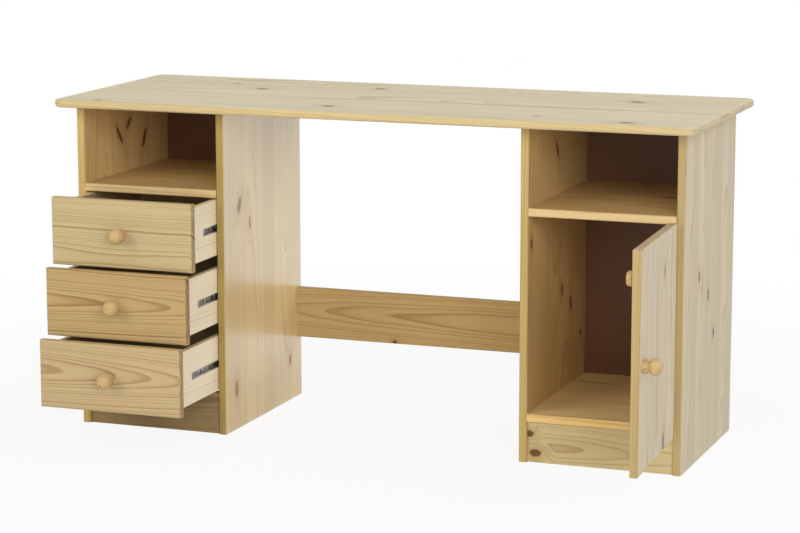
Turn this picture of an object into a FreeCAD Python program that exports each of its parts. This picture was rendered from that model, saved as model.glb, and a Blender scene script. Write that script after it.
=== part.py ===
import FreeCAD, Part
import math
import os

import Sketcher

# Kneehole desk in edge-glued pine: a long top on two pedestals, three drawers on ball-bearing slides on the
# left, and a cupboard with a door on concealed hinges on the right. Millimetres. +X is to the right, +Y to the
# back and +Z up, and the origin is on the floor under the middle of the top. The drawers stand pulled out and
# the door stands open by the amounts given in the sheet.

# Driving sizes: name, value and meaning.
SIZES = (
    ("desk_length", 1450, "length of the top"),
    ("desk_depth", 550, "depth of the top"),
    ("desk_height", 740, "height over the top"),
    ("board", 18, "thickness of the pine boards"),
    ("top_corner", 22, "corner radius of the top, seen from above"),
    ("top_edge", 7, "rounding of the top's edges"),
    ("board_edge", 4, "rounding of the front edges of the boards"),
    ("side_overhang", 30, "top beyond the pedestals at each end"),
    ("pedestal_width", 355, "width of a pedestal over its sides"),
    ("pedestal_depth", 435, "depth of a pedestal"),
    ("shelf_height", 548, "upper face of the shelves"),
    ("floor_height", 106, "upper face of the cupboard floor"),
    ("plinth_recess", 7, "set-back of the plinths"),
    ("plinth_edge", 1, "rounding of the plinths' upper edges"),
    ("back_panel", 3, "thickness of the back panels"),
    ("back_recess", 2, "depth of the back panels behind the back edges"),
    ("back_lap", 9, "lap of the back panels on the sides"),
    ("back_bottom", 70, "lower edge of the back panels"),
    ("stretcher_height", 118, "height of the stretcher"),
    ("stretcher_bottom", 143, "lower edge of the stretcher"),
    ("stretcher_recess", 7, "set-back of the stretcher from the back edges"),
    ("stretcher_edge", 3, "rounding of the stretcher's edges"),
    ("dowel", 8, "diameter of the carcass dowels"),
    ("dowel_deep", 20, "depth of a dowel in the end of a board"),
    ("dowel_shallow", 10, "depth of a dowel in the face of a board"),
    ("dowel_inset", 60, "distance of the outer dowels from a board's edges"),
    ("plinth_dowel_inset", 23, "distance of the plinths' dowels from their edges"),
    ("stretcher_dowel_inset", 30, "distance of the stretcher's dowels from its edges"),
    ("glue_gap", 0.05, "gap round glued and pressed pieces"),
    ("front_width", 335, "width of the drawer fronts and the door"),
    ("front_height", 149, "height of a drawer front"),
    ("front_gap", 3, "gap between drawer fronts"),
    ("front_bottom", 85, "lower edge of the lowest front"),
    ("front_edge", 4, "rounding of the fronts' outer edges"),
    ("front_standoff", 1, "gap behind a closed front"),
    ("top_pull", 128, "top drawer pulled out by"),
    ("middle_pull", 161, "middle drawer pulled out by"),
    ("bottom_pull", 198, "bottom drawer pulled out by"),
    ("drawer_length", 390, "length of the drawer sides"),
    ("drawer_height", 123, "height of the drawer sides"),
    ("drawer_side", 14, "thickness of the drawer sides and backs"),
    ("drawer_raise", 14, "drawer side's lower edge above its front's lower edge"),
    ("drawer_clearance", 3, "gap between a drawer side and the pedestal side"),
    ("drawer_back_drop", 6, "drawer back's upper edge below the sides' upper edge"),
    ("drawer_edge", 2, "rounding of the drawer sides' upper edges"),
    ("tray", 3, "thickness of the drawer bottoms"),
    ("tray_raise", 8, "drawer bottom's groove above the sides' lower edge"),
    ("tray_groove", 6, "depth of the grooves for the drawer bottoms"),
    ("peg", 6, "diameter of the drawer dowels"),
    ("peg_deep", 18, "depth of a drawer dowel in the end of a board"),
    ("peg_shallow", 10, "depth of a drawer dowel in a drawer front"),
    ("peg_inset", 34, "distance of the drawer dowels from a side's edges"),
    ("slide_height", 17, "height of the slide channels"),
    ("slide_length", 310, "length of the slides"),
    ("slide_setback", 67, "slide's front end behind the inner face of the front"),
    ("slide_metal", 1, "thickness of the slide channels and rails"),
    ("slide_groove", 7.5, "depth of the groove for the slide channel"),
    ("slide_sink", 0.3, "depth of the channel's mouth in the groove"),
    ("slide_lip", 1.6, "height of the channel's lips over its inner faces"),
    ("rail_height", 9.8, "height of the rail on the pedestal side"),
    ("rail_depth", 8.2, "depth of the rail"),
    ("cage_length", 76, "length of a ball cage"),
    ("cage_metal", 0.6, "thickness of a ball cage"),
    ("cage_gap", 0.4, "gap between a cage and the channel"),
    ("ball_gap", 0.05, "play of the balls between channel and rail"),
    ("socket_gap", 0.1, "play of the balls in their cage"),
    ("knob_length", 41, "length of a knob"),
    ("knob_head", 35, "diameter of a knob's head"),
    ("knob_neck", 20, "diameter of a knob's neck"),
    ("knob_foot", 27, "diameter of a knob's foot"),
    ("knob_foot_length", 10, "length of a knob's foot"),
    ("knob_waist", 14, "distance of a knob's head from the front"),
    ("knob_back", 22, "diameter of the flat back of a knob's head"),
    ("knob_widest", 25, "distance of a knob head's widest place from the front"),
    ("knob_screw", 4, "diameter of the knob screws"),
    ("knob_screw_head", 8, "diameter of a knob screw's head"),
    ("knob_screw_head_height", 2.5, "height of a knob screw's head"),
    ("knob_screw_crown", 1.2, "rounding of a knob screw's head"),
    ("knob_screw_grip", 14, "depth of a knob screw in its knob"),
    ("door_knob_height", 305, "height of the door knob above the floor"),
    ("door_knob_inset", 26, "distance of the door knob from the free edge"),
    ("button_height", 477, "height of the door button above the floor"),
    ("button_inset", 27, "distance of the door button from the free edge"),
    ("button_head", 31, "diameter of the door button"),
    ("button_length", 16, "length of the door button"),
    ("button_stem", 20, "diameter of the door button's stem"),
    ("button_stem_length", 4, "length of the door button's stem"),
    ("button_crown", 5, "height of the door button's crown"),
    ("button_shoulder", 24, "diameter at the edge of the door button's crown"),
    ("door_open", 92.8, "opening angle of the door as it stands"),
    ("hinge_angle", 92.8, "opening angle that the hinge link is laid out for"),
    ("swing_side", 1.2, "swing centre beyond the hinge edge, for that angle"),
    ("swing_out", 1.7, "swing centre in front of the closed door, for that angle"),
    ("hinge_inset", 75, "hinge centres from the door's upper and lower edges"),
    ("cup", 35, "diameter of a hinge cup"),
    ("cup_tab", 3, "hinge cup's distance from the hinge edge"),
    ("cup_depth", 13, "depth of a hinge cup"),
    ("cup_metal", 0.8, "thickness of a hinge cup"),
    ("cup_flange", 60, "length of a hinge cup's flange"),
    ("cup_flange_width", 15, "width of a hinge cup's flange"),
    ("cup_flange_end", 5, "corner radius of a hinge cup's flange"),
    ("cup_pin_inset", 7, "cup pin's distance from the hinge edge"),
    ("cup_pin_depth", 2, "cup pin's depth under the door's inner face"),
    ("pin", 2.5, "diameter of the hinge pins"),
    ("pin_play", 0.05, "play of a link on its pin"),
    ("arm_reach", 36, "arm pin's distance from the swing centre"),
    ("arm_width", 10, "width of a hinge arm"),
    ("arm_thickness", 6, "thickness of a hinge arm"),
    ("arm_nose", 5, "diameter of a hinge arm's rounded nose"),
    ("arm_shoulder", 12, "straight part of the arm starts behind the front edge by"),
    ("link_width", 7, "width of a hinge link"),
    ("link_metal", 2, "thickness of a hinge link"),
    ("link_bow", 5, "bow of a hinge link"),
    ("link_eye", 4.2, "diameter of a hinge link's eyes"),
    ("link_play", 0.3, "side play of a hinge link in its arm"),
    ("link_slot", 5, "depth of the arm's slot for the link behind its pin"),
    ("plate_length", 46, "length of a hinge plate"),
    ("plate_setback", 16, "hinge plate's front end behind the pedestal's front edge"),
    ("plate_height", 5, "height of a hinge plate"),
    ("plate_wing", 46, "length of a hinge plate's wings, up and down"),
    ("plate_wing_width", 14, "width of a hinge plate's wings"),
    ("plate_wing_height", 2.5, "height of a hinge plate's wings"),
    ("plate_wing_end", 4.5, "corner radius of a hinge plate's wings"),
)

BALLS_IN_ROW = 3
TOLERANCE = 1e-6

doc = FreeCAD.newDocument("KneeholeDesk")
sheet = doc.addObject("Spreadsheet::Sheet", "Sizes")
layout = doc.addObject("Spreadsheet::Sheet", "Layout")
nodes = []


class Size:
    """A number that also knows its formula in the sheet, so that it can drive a property."""

    def __init__(self, formula, value):
        self.formula = formula
        self.value = float(value)

    @staticmethod
    def of(thing):
        """A plain number as a Size."""
        return thing if isinstance(thing, Size) else Size(repr(thing), thing)

    def __add__(self, other):
        other = Size.of(other)
        return Size(f"({self.formula} + {other.formula})", self.value + other.value)

    def __sub__(self, other):
        other = Size.of(other)
        return Size(f"({self.formula} - {other.formula})", self.value - other.value)

    def __mul__(self, other):
        other = Size.of(other)
        return Size(f"({self.formula} * {other.formula})", self.value * other.value)

    def __truediv__(self, other):
        other = Size.of(other)
        return Size(f"({self.formula} / {other.formula})", self.value / other.value)

    def __radd__(self, other):
        return Size.of(other) + self

    def __rsub__(self, other):
        return Size.of(other) - self

    def __rmul__(self, other):
        return Size.of(other) * self

    def __neg__(self):
        return Size(f"(0 - {self.formula})", -self.value)

    def __float__(self):
        return self.value


def sine(angle):
    """Sine of an angle in degrees."""
    return Size(f"sin({angle.formula})", math.sin(math.radians(angle.value)))


def cosine(angle):
    """Cosine of an angle in degrees."""
    return Size(f"cos({angle.formula})", math.cos(math.radians(angle.value)))


def root(square):
    """Square root of a size."""
    return Size(f"sqrt({square.formula})", math.sqrt(square.value))


def bearing(up, across):
    """Angle in degrees of the direction that goes across and up."""
    return Size(f"atan2({up.formula}; {across.formula})", math.degrees(math.atan2(up.value, across.value)))


class Sheet:
    """The driving sizes as attributes."""


def fill_sheet():
    """Write the driving sizes into the spreadsheet and give them back as attributes."""
    sizes = Sheet()
    for row, (name, value, meaning) in enumerate(SIZES, start=1):
        sheet.set(f"A{row}", meaning)
        sheet.set(f"B{row}", str(value))
        sheet.setAlias(f"B{row}", name)
        setattr(sizes, name, Size(f"Sizes.{name}", value))
    doc.recompute()
    return sizes


def derive(name, size):
    """Keep a size that is worked out from others in the layout sheet, under a name of its own."""
    row = len(layout.getUsedCells()) + 1
    layout.set(f"A{row}", "=" + size.formula)
    layout.setAlias(f"A{row}", name)
    return Size(f"Layout.{name}", size.value)


def bind(thing, prop, size):
    """Drive a property by the sheet."""
    thing.setExpression(prop, Size.of(size).formula)


def place(thing, at, turn=None):
    """Drive a thing's place, and its turn about the vertical."""
    for axis, size in zip("xyz", at):
        bind(thing, f"Placement.Base.{axis}", size)
    if turn is not None:
        bind(thing, "Placement.Rotation.Angle", turn)
    return thing


def add_box(name, size, at):
    """Box of the given size with its lowest corner at a point."""
    box = doc.addObject("Part::Box", name)
    for prop, length in zip(("Length", "Width", "Height"), size):
        bind(box, prop, length)
    return place(box, at)


AXES = {
    "x": FreeCAD.Rotation(FreeCAD.Vector(0, 1, 0), 90),
    "y": FreeCAD.Rotation(FreeCAD.Vector(1, 0, 0), -90),
    "z": FreeCAD.Rotation(),
}


def add_cylinder(name, diameter, length, at, axis):
    """Cylinder that starts at a point and runs along an axis."""
    cylinder = doc.addObject("Part::Cylinder", name)
    bind(cylinder, "Radius", diameter / 2)
    bind(cylinder, "Height", length)
    cylinder.Placement = FreeCAD.Placement(FreeCAD.Vector(), AXES[axis])
    return place(cylinder, at)


def pin_along(name, at, half, diameter):
    """Upright pin through a point, with half its length to each side."""
    return add_cylinder(name, diameter, 2 * half, (at[0], at[1], at[2] - half), "z")


def group(name, things):
    """Several separate solids as one thing."""
    compound = doc.addObject("Part::Compound", name)
    compound.Links = things
    return compound


def cut(name, base, tools):
    """A thing with other things taken out of it."""
    result = doc.addObject("Part::Cut", name)
    result.Base = base
    result.Tool = tools[0] if len(tools) == 1 else group(name + "_tools", tools)
    return result


def fuse(name, things):
    """Several things made one solid."""
    result = doc.addObject("Part::MultiFuse", name)
    result.Shapes = things
    result.Refine = True
    return result


def mirrored(name, source, x):
    """Mirror image of a thing across an upright plane that faces along X."""
    image = doc.addObject("Part::Mirroring", name)
    image.Source = source
    image.Normal = FreeCAD.Vector(1, 0, 0)
    bind(image, "Base.x", x)
    return image


def limit_edges(shape, limits, along=None):
    """Numbers of a shape's edges that lie on limits of its box, such as YMin, and run along an axis."""
    box = shape.BoundBox
    found = []
    for number, edge in enumerate(shape.Edges, start=1):
        own = edge.BoundBox
        if along and getattr(own, along.upper() + "Length") < getattr(box, along.upper() + "Length") / 2:
            continue
        ends = {limit: (getattr(own, limit[0] + "Min"), getattr(own, limit[0] + "Max")) for limit in limits}
        if any(max(abs(end - getattr(box, limit)) for end in ends[limit]) < TOLERANCE for limit in limits):
            found.append(number)
    return found


def rounded(name, base, radius, limits, along=None):
    """A thing with the edges on some limits of its box rounded."""
    doc.recompute()
    result = doc.addObject("Part::Fillet", name)
    result.Base = base
    result.Edges = [(edge, radius.value, radius.value) for edge in limit_edges(base.Shape, limits, along)]
    return result


def node(thing, label):
    """Name a finished piece, which becomes a file of its own."""
    thing.Label = label
    nodes.append(thing)
    return thing


def origin_plane(body, role):
    """One of a body's own origin planes."""
    return next(plane for plane in body.Origin.OriginFeatures if plane.Role == role)


def outline(body, role, corners):
    """Closed sketch through corners (x, y) or (x, y, radius): a radius makes the line to the next corner an arc.

    A positive radius bulges to the left of the way along the line, a negative one to the right.
    """
    sketch = body.newObject("Sketcher::SketchObject", body.Name + "_outline")
    sketch.AttachmentSupport = [(origin_plane(body, role), "")]
    sketch.MapMode = "FlatFace"
    points = [FreeCAD.Vector(float(corner[0]), float(corner[1]), 0) for corner in corners]
    ends = []
    for index, corner in enumerate(corners):
        start = points[index]
        stop = points[(index + 1) % len(points)]
        if len(corner) == 2:
            geometry = sketch.addGeometry(Part.LineSegment(start, stop))
            ends.append((geometry, 1, 2))
            continue
        radius = float(corner[2])
        chord = stop - start
        side = FreeCAD.Vector(-chord.y, chord.x, 0).normalize() * math.copysign(1, radius)
        rise = abs(radius) - math.sqrt(max(radius ** 2 - (chord.Length / 2) ** 2, 0))
        middle = start + chord / 2 + side * rise
        first, last = (stop, start) if radius > 0 else (start, stop)
        geometry = sketch.addGeometry(Part.Arc(first, middle, last))
        ends.append((geometry, 2, 1) if radius > 0 else (geometry, 1, 2))
        limit = sketch.addConstraint(Sketcher.Constraint("Radius", geometry, abs(radius)))
        bind(sketch, f"Constraints[{limit}]", corner[2] if radius > 0 else -corner[2])
    for index, corner in enumerate(corners):
        geometry, start_point, stop_point = ends[index]
        following = ends[(index + 1) % len(ends)]
        sketch.addConstraint(Sketcher.Constraint("Coincident", geometry, stop_point, following[0], following[1]))
        for kind, axis, size in (("DistanceX", -2, corner[0]), ("DistanceY", -1, corner[1])):
            if abs(float(size)) < TOLERANCE:
                sketch.addConstraint(Sketcher.Constraint("PointOnObject", geometry, start_point, axis))
                continue
            limit = sketch.addConstraint(
                Sketcher.Constraint(kind, -1, 1, geometry, start_point, float(size)))
            bind(sketch, f"Constraints[{limit}]", size)
    return sketch


def padded(name, role, corners, length, backwards=False):
    """Body made by padding an outline on one of its origin planes."""
    body = doc.addObject("PartDesign::Body", name)
    pad = body.newObject("PartDesign::Pad", name + "_pad")
    pad.Profile = outline(body, role, corners)
    bind(pad, "Length", length)
    pad.Reversed = backwards
    body.Tip = pad
    return body


def turned(name, corners):
    """Body turned about the Y axis from an outline in the XY plane."""
    body = doc.addObject("PartDesign::Body", name)
    turning = body.newObject("PartDesign::Revolution", name + "_turning")
    sketch = outline(body, "XY_Plane", corners)
    turning.Profile = sketch
    turning.ReferenceAxis = (sketch, ["V_Axis"])
    turning.Angle = 360
    body.Tip = turning
    return body


s = fill_sheet()
NOTHING = Size.of(0)

# Main planes and spans, worked out from the sheet.
FRONT = derive("front_plane", -s.pedestal_depth / 2)
BACK = derive("back_plane", s.pedestal_depth / 2)
UNDER_TOP = derive("under_top", s.desk_height - s.board)
OUTER = derive("outer_plane", s.desk_length / 2 - s.side_overhang)
KNEEHOLE = derive("kneehole_plane", OUTER - s.pedestal_width)
INNER_WIDTH = derive("inner_width", s.pedestal_width - 2 * s.board)
PANEL_FACE = derive("panel_face", BACK - s.back_recess - s.back_panel)
INNER_DEPTH = derive("inner_depth", PANEL_FACE - FRONT)
LEFT_INSIDE = derive("left_inside", s.board - OUTER)
RIGHT_INSIDE = derive("right_inside", KNEEHOLE + s.board)
LEFT_CENTRE = derive("left_centre", s.pedestal_width / 2 - OUTER)
HINGE_FACE = derive("hinge_face", OUTER - s.board)
FRONT_LAP = derive("front_lap", (s.front_width - INNER_WIDTH) / 2)
CLOSED_FACE = derive("closed_face", FRONT - s.front_standoff)
DOOR_HEIGHT = derive("door_height", 3 * s.front_height + 2 * s.front_gap)
LEFT_PLINTH = derive("left_plinth_height", s.front_bottom + FRONT_LAP)
RIGHT_PLINTH = derive("right_plinth_height", s.floor_height - s.board)


def dowel_set(label, diameter, places):
    """Dowels, as one piece, and the bores that they sit in. A place is a start point, an axis and a length."""
    bores = []
    pegs = []
    for index, (at, axis, length) in enumerate(places):
        bores.append(add_cylinder(f"{label}_bore_{index}", diameter, length, at, axis))
        start = [base + s.glue_gap if own == axis else base for own, base in zip("xyz", at)]
        pegs.append(add_cylinder(
            f"{label}_peg_{index}", diameter - 2 * s.glue_gap, length - 2 * s.glue_gap, start, axis))
    node(group(label + "_group", pegs), label)
    return bores


def bores_in(bores, blank):
    """Bores that reach into a board."""
    doc.recompute()
    return [bore for bore in bores if bore.Shape.distToShape(blank.Shape)[0] < TOLERANCE]


def carcass_bores():
    """Dowels of the top, the shelves, the floor, the plinths and the stretcher, with their bores."""
    whole = s.dowel_deep + s.dowel_shallow
    middles = [sign * (plane + inwards * s.board / 2)
               for sign in (-1, 1) for plane, inwards in ((OUTER, -1), (KNEEHOLE, 1))]
    rows = (FRONT + s.dowel_inset, NOTHING, BACK - s.dowel_inset)
    upright = [((x, y, UNDER_TOP - s.dowel_deep), "z", whole) for x in middles for y in rows]
    level = []

    def join(left, right, depths, heights):
        """Add dowels at both ends of a board that runs along X from one side to another."""
        for depth in depths:
            for height in heights:
                level.append(((left - s.dowel_shallow, depth, height), "x", whole))
                level.append(((right - s.dowel_deep, depth, height), "x", whole))

    shelf_rows = (FRONT + s.dowel_inset, PANEL_FACE - s.dowel_inset)
    plinth_row = (FRONT + s.plinth_recess + s.board / 2,)
    for inside, plinth in ((LEFT_INSIDE, LEFT_PLINTH), (RIGHT_INSIDE, RIGHT_PLINTH)):
        join(inside, inside + INNER_WIDTH, shelf_rows, (s.shelf_height - s.board / 2,))
        join(inside, inside + INNER_WIDTH, plinth_row,
             (s.plinth_dowel_inset, plinth - s.plinth_dowel_inset))
    join(RIGHT_INSIDE, RIGHT_INSIDE + INNER_WIDTH, shelf_rows, (s.floor_height - s.board / 2,))
    join(-KNEEHOLE, KNEEHOLE, (BACK - s.stretcher_recess - s.board / 2,),
         (s.stretcher_bottom + s.stretcher_dowel_inset,
          s.stretcher_bottom + s.stretcher_height - s.stretcher_dowel_inset))
    return dowel_set("top_dowels", s.dowel, upright) + dowel_set("carcass_dowels", s.dowel, level)


def make_top(bores):
    """Long edge-glued top with rounded corners and edges, bored from below for its dowels."""
    blank = add_box("top_blank", (s.desk_length, s.desk_depth, s.board),
                    (-s.desk_length / 2, -s.desk_depth / 2, UNDER_TOP))
    corners = rounded("top_corners", blank, s.top_corner, ("XMin", "XMax"), along="z")
    edges = rounded("top_edges", corners, s.top_edge, ("ZMin", "ZMax"))
    node(cut("top_bored", edges, bores_in(bores, blank)), "desk_top")


def make_side(label, left, rebate_left, bores):
    """Pedestal side with rounded front edges, a rebate for the back panel and bores for dowels."""
    blank = add_box(label + "_blank", (s.board, s.pedestal_depth, UNDER_TOP), (left, FRONT, NOTHING))
    edges = rounded(label + "_edges", blank, s.board_edge, ("YMin",), along="z")
    rebate = add_box(label + "_rebate", (s.back_lap, s.back_recess + s.back_panel, UNDER_TOP),
                     (rebate_left, PANEL_FACE, NOTHING))
    node(cut(label + "_bored", edges, [rebate] + bores_in(bores, blank)), label)


def make_level_board(label, size, at, edge, limits, bores):
    """Board that runs along X between two sides, with rounded edges and bores for dowels."""
    blank = add_box(label + "_blank", size, at)
    edges = rounded(label + "_edges", blank, edge, limits, along="x")
    node(cut(label + "_bored", edges, bores_in(bores, blank)), label)


def make_carcass():
    """Top, sides, shelves, floor, plinths, back panels and stretcher."""
    bores = carcass_bores()
    make_top(bores)
    make_side("left_outer_side", -OUTER, LEFT_INSIDE - s.back_lap, bores)
    make_side("left_inner_side", -KNEEHOLE - s.board, -KNEEHOLE - s.board, bores)
    make_side("right_inner_side", KNEEHOLE, RIGHT_INSIDE - s.back_lap, bores)
    make_side("right_outer_side", HINGE_FACE, HINGE_FACE, bores)
    deep_board = (INNER_WIDTH, INNER_DEPTH, s.board)
    for side, inside, plinth in (("left", LEFT_INSIDE, LEFT_PLINTH), ("right", RIGHT_INSIDE, RIGHT_PLINTH)):
        make_level_board(side + "_shelf", deep_board, (inside, FRONT, s.shelf_height - s.board),
                         s.board_edge, ("YMin",), bores)
        make_level_board(side + "_plinth", (INNER_WIDTH, s.board, plinth),
                         (inside, FRONT + s.plinth_recess, NOTHING), s.plinth_edge, ("ZMax",), bores)
        node(add_box(side + "_hardboard",
                     (INNER_WIDTH + 2 * (s.back_lap - s.glue_gap), s.back_panel, UNDER_TOP - s.back_bottom),
                     (inside - s.back_lap + s.glue_gap, PANEL_FACE, s.back_bottom)), side + "_back_panel")
    make_level_board("right_floor", deep_board, (RIGHT_INSIDE, FRONT, RIGHT_PLINTH),
                     s.board_edge, ("YMin",), bores)
    make_level_board("stretcher", (2 * KNEEHOLE, s.board, s.stretcher_height),
                     (-KNEEHOLE, BACK - s.stretcher_recess - s.board, s.stretcher_bottom),
                     s.stretcher_edge, ("ZMin", "ZMax"), bores)


def tangent_radius(across, along):
    """Radius of the arc that starts along one direction and ends so far across and along from its start."""
    return (across * across + along * along) / (2 * across)


def turned_knob(name):
    """Knob turned about Y that points towards -Y: foot, coved neck and crowned head, bored for its screw."""
    foot = s.knob_foot / 2
    neck = s.knob_neck / 2
    cove = foot - neck
    bore = s.knob_screw / 2 + s.glue_gap
    grip = -s.knob_screw_grip - s.glue_gap
    back = s.knob_back / 2
    head = s.knob_head / 2
    round_back = tangent_radius(head - back, s.knob_widest - s.knob_waist)
    round_front = tangent_radius(s.knob_length - s.knob_widest, head)
    return turned(name, [
        (bore, NOTHING),
        (foot, NOTHING),
        (foot, -s.knob_foot_length, -cove),
        (neck, -s.knob_foot_length - cove),
        (neck, -s.knob_waist),
        (back, -s.knob_waist, round_back),
        (head, -s.knob_widest, round_front),
        (NOTHING, -s.knob_length),
        (NOTHING, grip),
        (bore, grip),
    ])


def knob_screw(name, at):
    """Pan-head screw along Y that holds a knob: its head's seat is at a point."""
    length = s.board + s.knob_screw_grip
    shank = add_cylinder(name + "_shank", s.knob_screw, length, (at[0], at[1] - length, at[2]), "y")
    head = add_cylinder(name + "_head", s.knob_screw_head, s.knob_screw_head_height, at, "y")
    dome = rounded(name + "_dome", head, s.knob_screw_crown, ("YMax",))
    return fuse(name, [shank, dome])


def knob_bore(name, at):
    """Bore for a knob screw through a front, from the screw head's seat."""
    return add_cylinder(name, s.knob_screw + 2 * s.glue_gap, s.board, (at[0], at[1] - s.board, at[2]), "y")


# Slides: x is measured from the pedestal side's inner face, z from the slide's middle.
MOUTH = derive("channel_mouth", s.drawer_clearance + s.slide_sink)
SEAT = derive("channel_seat", s.drawer_clearance + s.slide_groove)
CHANNEL_HALF = derive("channel_half", s.slide_height / 2)
CHANNEL_INNER = derive("channel_inner", CHANNEL_HALF - s.slide_metal)
RAIL_HALF = derive("rail_half", s.rail_height / 2)
BALL_HEIGHT = derive("ball_height", (CHANNEL_INNER + RAIL_HALF) / 2)
BALL_RADIUS = derive("ball_radius", (CHANNEL_INNER - RAIL_HALF) / 2 - s.ball_gap)
BALL_X = derive("ball_x", (MOUTH + SEAT) / 2)
RAIL_START = derive("rail_start", CLOSED_FACE + s.slide_setback)


def pair(label, left):
    """A left-hand piece and its mirror image on the other side of the drawer pedestal, as one piece."""
    node(group(label + "_pair", [left, mirrored(label + "_right", left, LEFT_CENTRE)]), label)


def slide_channel(label, start, height):
    """Lipped channels in the grooves of a drawer's sides."""
    lip = CHANNEL_INNER - s.slide_lip
    inner = SEAT - s.slide_metal
    hook = MOUTH + s.slide_metal
    half = [(SEAT, CHANNEL_HALF), (MOUTH, CHANNEL_HALF), (MOUTH, lip), (hook, lip),
            (hook, CHANNEL_INNER), (inner, CHANNEL_INNER)]
    corners = half + [(x, -z) for x, z in reversed(half)]
    channel = padded(label + "_left", "XZ_Plane", corners, s.slide_length, backwards=True)
    pair(label, place(channel, (LEFT_INSIDE, start, height)))


def slide_rail(label, height):
    """Rails on the pedestal's sides, which run inside the channels."""
    inner = RAIL_HALF - s.slide_metal
    half = [(NOTHING, RAIL_HALF), (s.rail_depth, RAIL_HALF), (s.rail_depth, inner), (s.slide_metal, inner)]
    corners = half + [(x, -z) for x, z in reversed(half)]
    rail = padded(label + "_left", "XZ_Plane", corners, s.slide_length, backwards=True)
    pair(label, place(rail, (LEFT_INSIDE, RAIL_START, height)))


def slide_cage(label, start, height):
    """Ball cages between rails and channels, each with a row of balls above and below the rail."""
    outer = SEAT - s.slide_metal - s.cage_gap
    inner = outer - s.cage_metal
    tip = MOUTH + s.slide_metal + s.cage_gap
    high = BALL_HEIGHT + s.cage_metal / 2
    low = BALL_HEIGHT - s.cage_metal / 2
    half = [(outer, high), (tip, high), (tip, low), (inner, low)]
    corners = half + [(x, -z) for x, z in reversed(half)]
    strip = place(padded(label + "_strip", "XZ_Plane", corners, s.cage_length, backwards=True),
                  (LEFT_INSIDE, start, height))
    balls = []
    sockets = []
    pitch = s.cage_length / BALLS_IN_ROW
    for row, level in enumerate((height - BALL_HEIGHT, height + BALL_HEIGHT)):
        for index in range(BALLS_IN_ROW):
            at = (LEFT_INSIDE + BALL_X, start + pitch / 2 + pitch * index, level)
            ball = doc.addObject("Part::Sphere", f"{label}_ball_{row}_{index}")
            bind(ball, "Radius", BALL_RADIUS)
            balls.append(place(ball, at))
            sockets.append(pin_along(f"{label}_socket_{row}_{index}", at, s.cage_metal,
                                     2 * (BALL_RADIUS + s.socket_gap)))
    pair(label, group(label + "_loaded", [cut(label + "_drilled", strip, sockets)] + balls))


def make_drawer(name, bottom, pull):
    """One drawer: front, sides, back, bottom, dowels, knob, screw, and its slides."""
    face = derive(name + "_drawer_face", CLOSED_FACE - pull)
    middle = derive(name + "_drawer_middle", bottom + s.front_height / 2)
    low = derive(name + "_drawer_low", bottom + s.drawer_raise)
    left = derive(name + "_drawer_left", LEFT_INSIDE + s.drawer_clearance)
    right = derive(name + "_drawer_right", LEFT_INSIDE + INNER_WIDTH - s.drawer_clearance - s.drawer_side)
    inner_left = left + s.drawer_side
    inner_width = right - inner_left
    tray_low = derive(name + "_tray_low", low + s.tray_raise)
    end = face + s.drawer_length
    label = name + "_drawer_"

    places = []
    for height in (low + s.peg_inset, low + s.drawer_height - s.peg_inset):
        for side in (left, right):
            places.append(((side + s.drawer_side / 2, face - s.peg_shallow, height), "y",
                           s.peg_shallow + s.peg_deep))
        for start in (left, right - s.peg_deep):
            places.append(((start, end - s.drawer_side / 2, height), "x", s.drawer_side + s.peg_deep))
    bores = dowel_set(label + "dowels", s.peg, places)

    groove_height = s.tray + 2 * s.glue_gap
    tray_tool = add_box(label + "tray_groove",
                        (inner_width + 2 * s.tray_groove, s.drawer_length + s.tray_groove, groove_height),
                        (inner_left - s.tray_groove, face - s.tray_groove, tray_low))
    blank = add_box(label + "front_blank", (s.front_width, s.board, s.front_height),
                    (LEFT_CENTRE - s.front_width / 2, face - s.board, bottom))
    edges = rounded(label + "front_edges", blank, s.front_edge, ("YMin",))
    seat = (LEFT_CENTRE, face, middle)
    node(cut(label + "front_bored", edges,
             [tray_tool, knob_bore(label + "knob_bore", seat)] + bores_in(bores, blank)), label + "front")

    slot_height = s.slide_height + 2 * s.glue_gap
    for side, at, slot in (("left", left, left), ("right", right, right + s.drawer_side - s.slide_groove)):
        own = label + side + "_side"
        blank = add_box(own + "_blank", (s.drawer_side, s.drawer_length, s.drawer_height), (at, face, low))
        edges = rounded(own + "_edges", blank, s.drawer_edge, ("ZMax",), along="y")
        slot_tool = add_box(own + "_slot", (s.slide_groove, s.drawer_length, slot_height),
                            (slot, face + s.slide_setback - s.glue_gap, middle - slot_height / 2))
        node(cut(own + "_bored", edges, [tray_tool, slot_tool] + bores_in(bores, blank)), own)

    tray_top = tray_low + groove_height
    blank = add_box(label + "back_blank",
                    (inner_width, s.drawer_side, low + s.drawer_height - s.drawer_back_drop - tray_top),
                    (inner_left, end - s.drawer_side, tray_top))
    node(cut(label + "back_bored", blank, bores_in(bores, blank)), label + "back")
    node(add_box(label + "tray",
                 (inner_width + 2 * (s.tray_groove - s.glue_gap), s.drawer_length + s.tray_groove - s.glue_gap,
                  s.tray),
                 (inner_left - s.tray_groove + s.glue_gap, face - s.tray_groove + s.glue_gap,
                  tray_low + s.glue_gap)), label + "bottom")

    node(place(turned_knob(label + "knob_body"), (LEFT_CENTRE, face - s.board, middle)), label + "knob")
    node(knob_screw(label + "screw", seat), label + "knob_screw")
    slide_rail(label + "rails", middle)
    slide_channel(label + "channels", face + s.slide_setback, middle)
    slide_cage(label + "cages", RAIL_START + (s.slide_length - s.cage_length - pull) / 2, middle)


def make_drawers():
    """The three drawers, from the top down."""
    step = s.front_height + s.front_gap
    make_drawer("top", s.front_bottom + 2 * step, s.top_pull)
    make_drawer("middle", s.front_bottom + step, s.middle_pull)
    make_drawer("bottom", s.front_bottom, s.bottom_pull)


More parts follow.
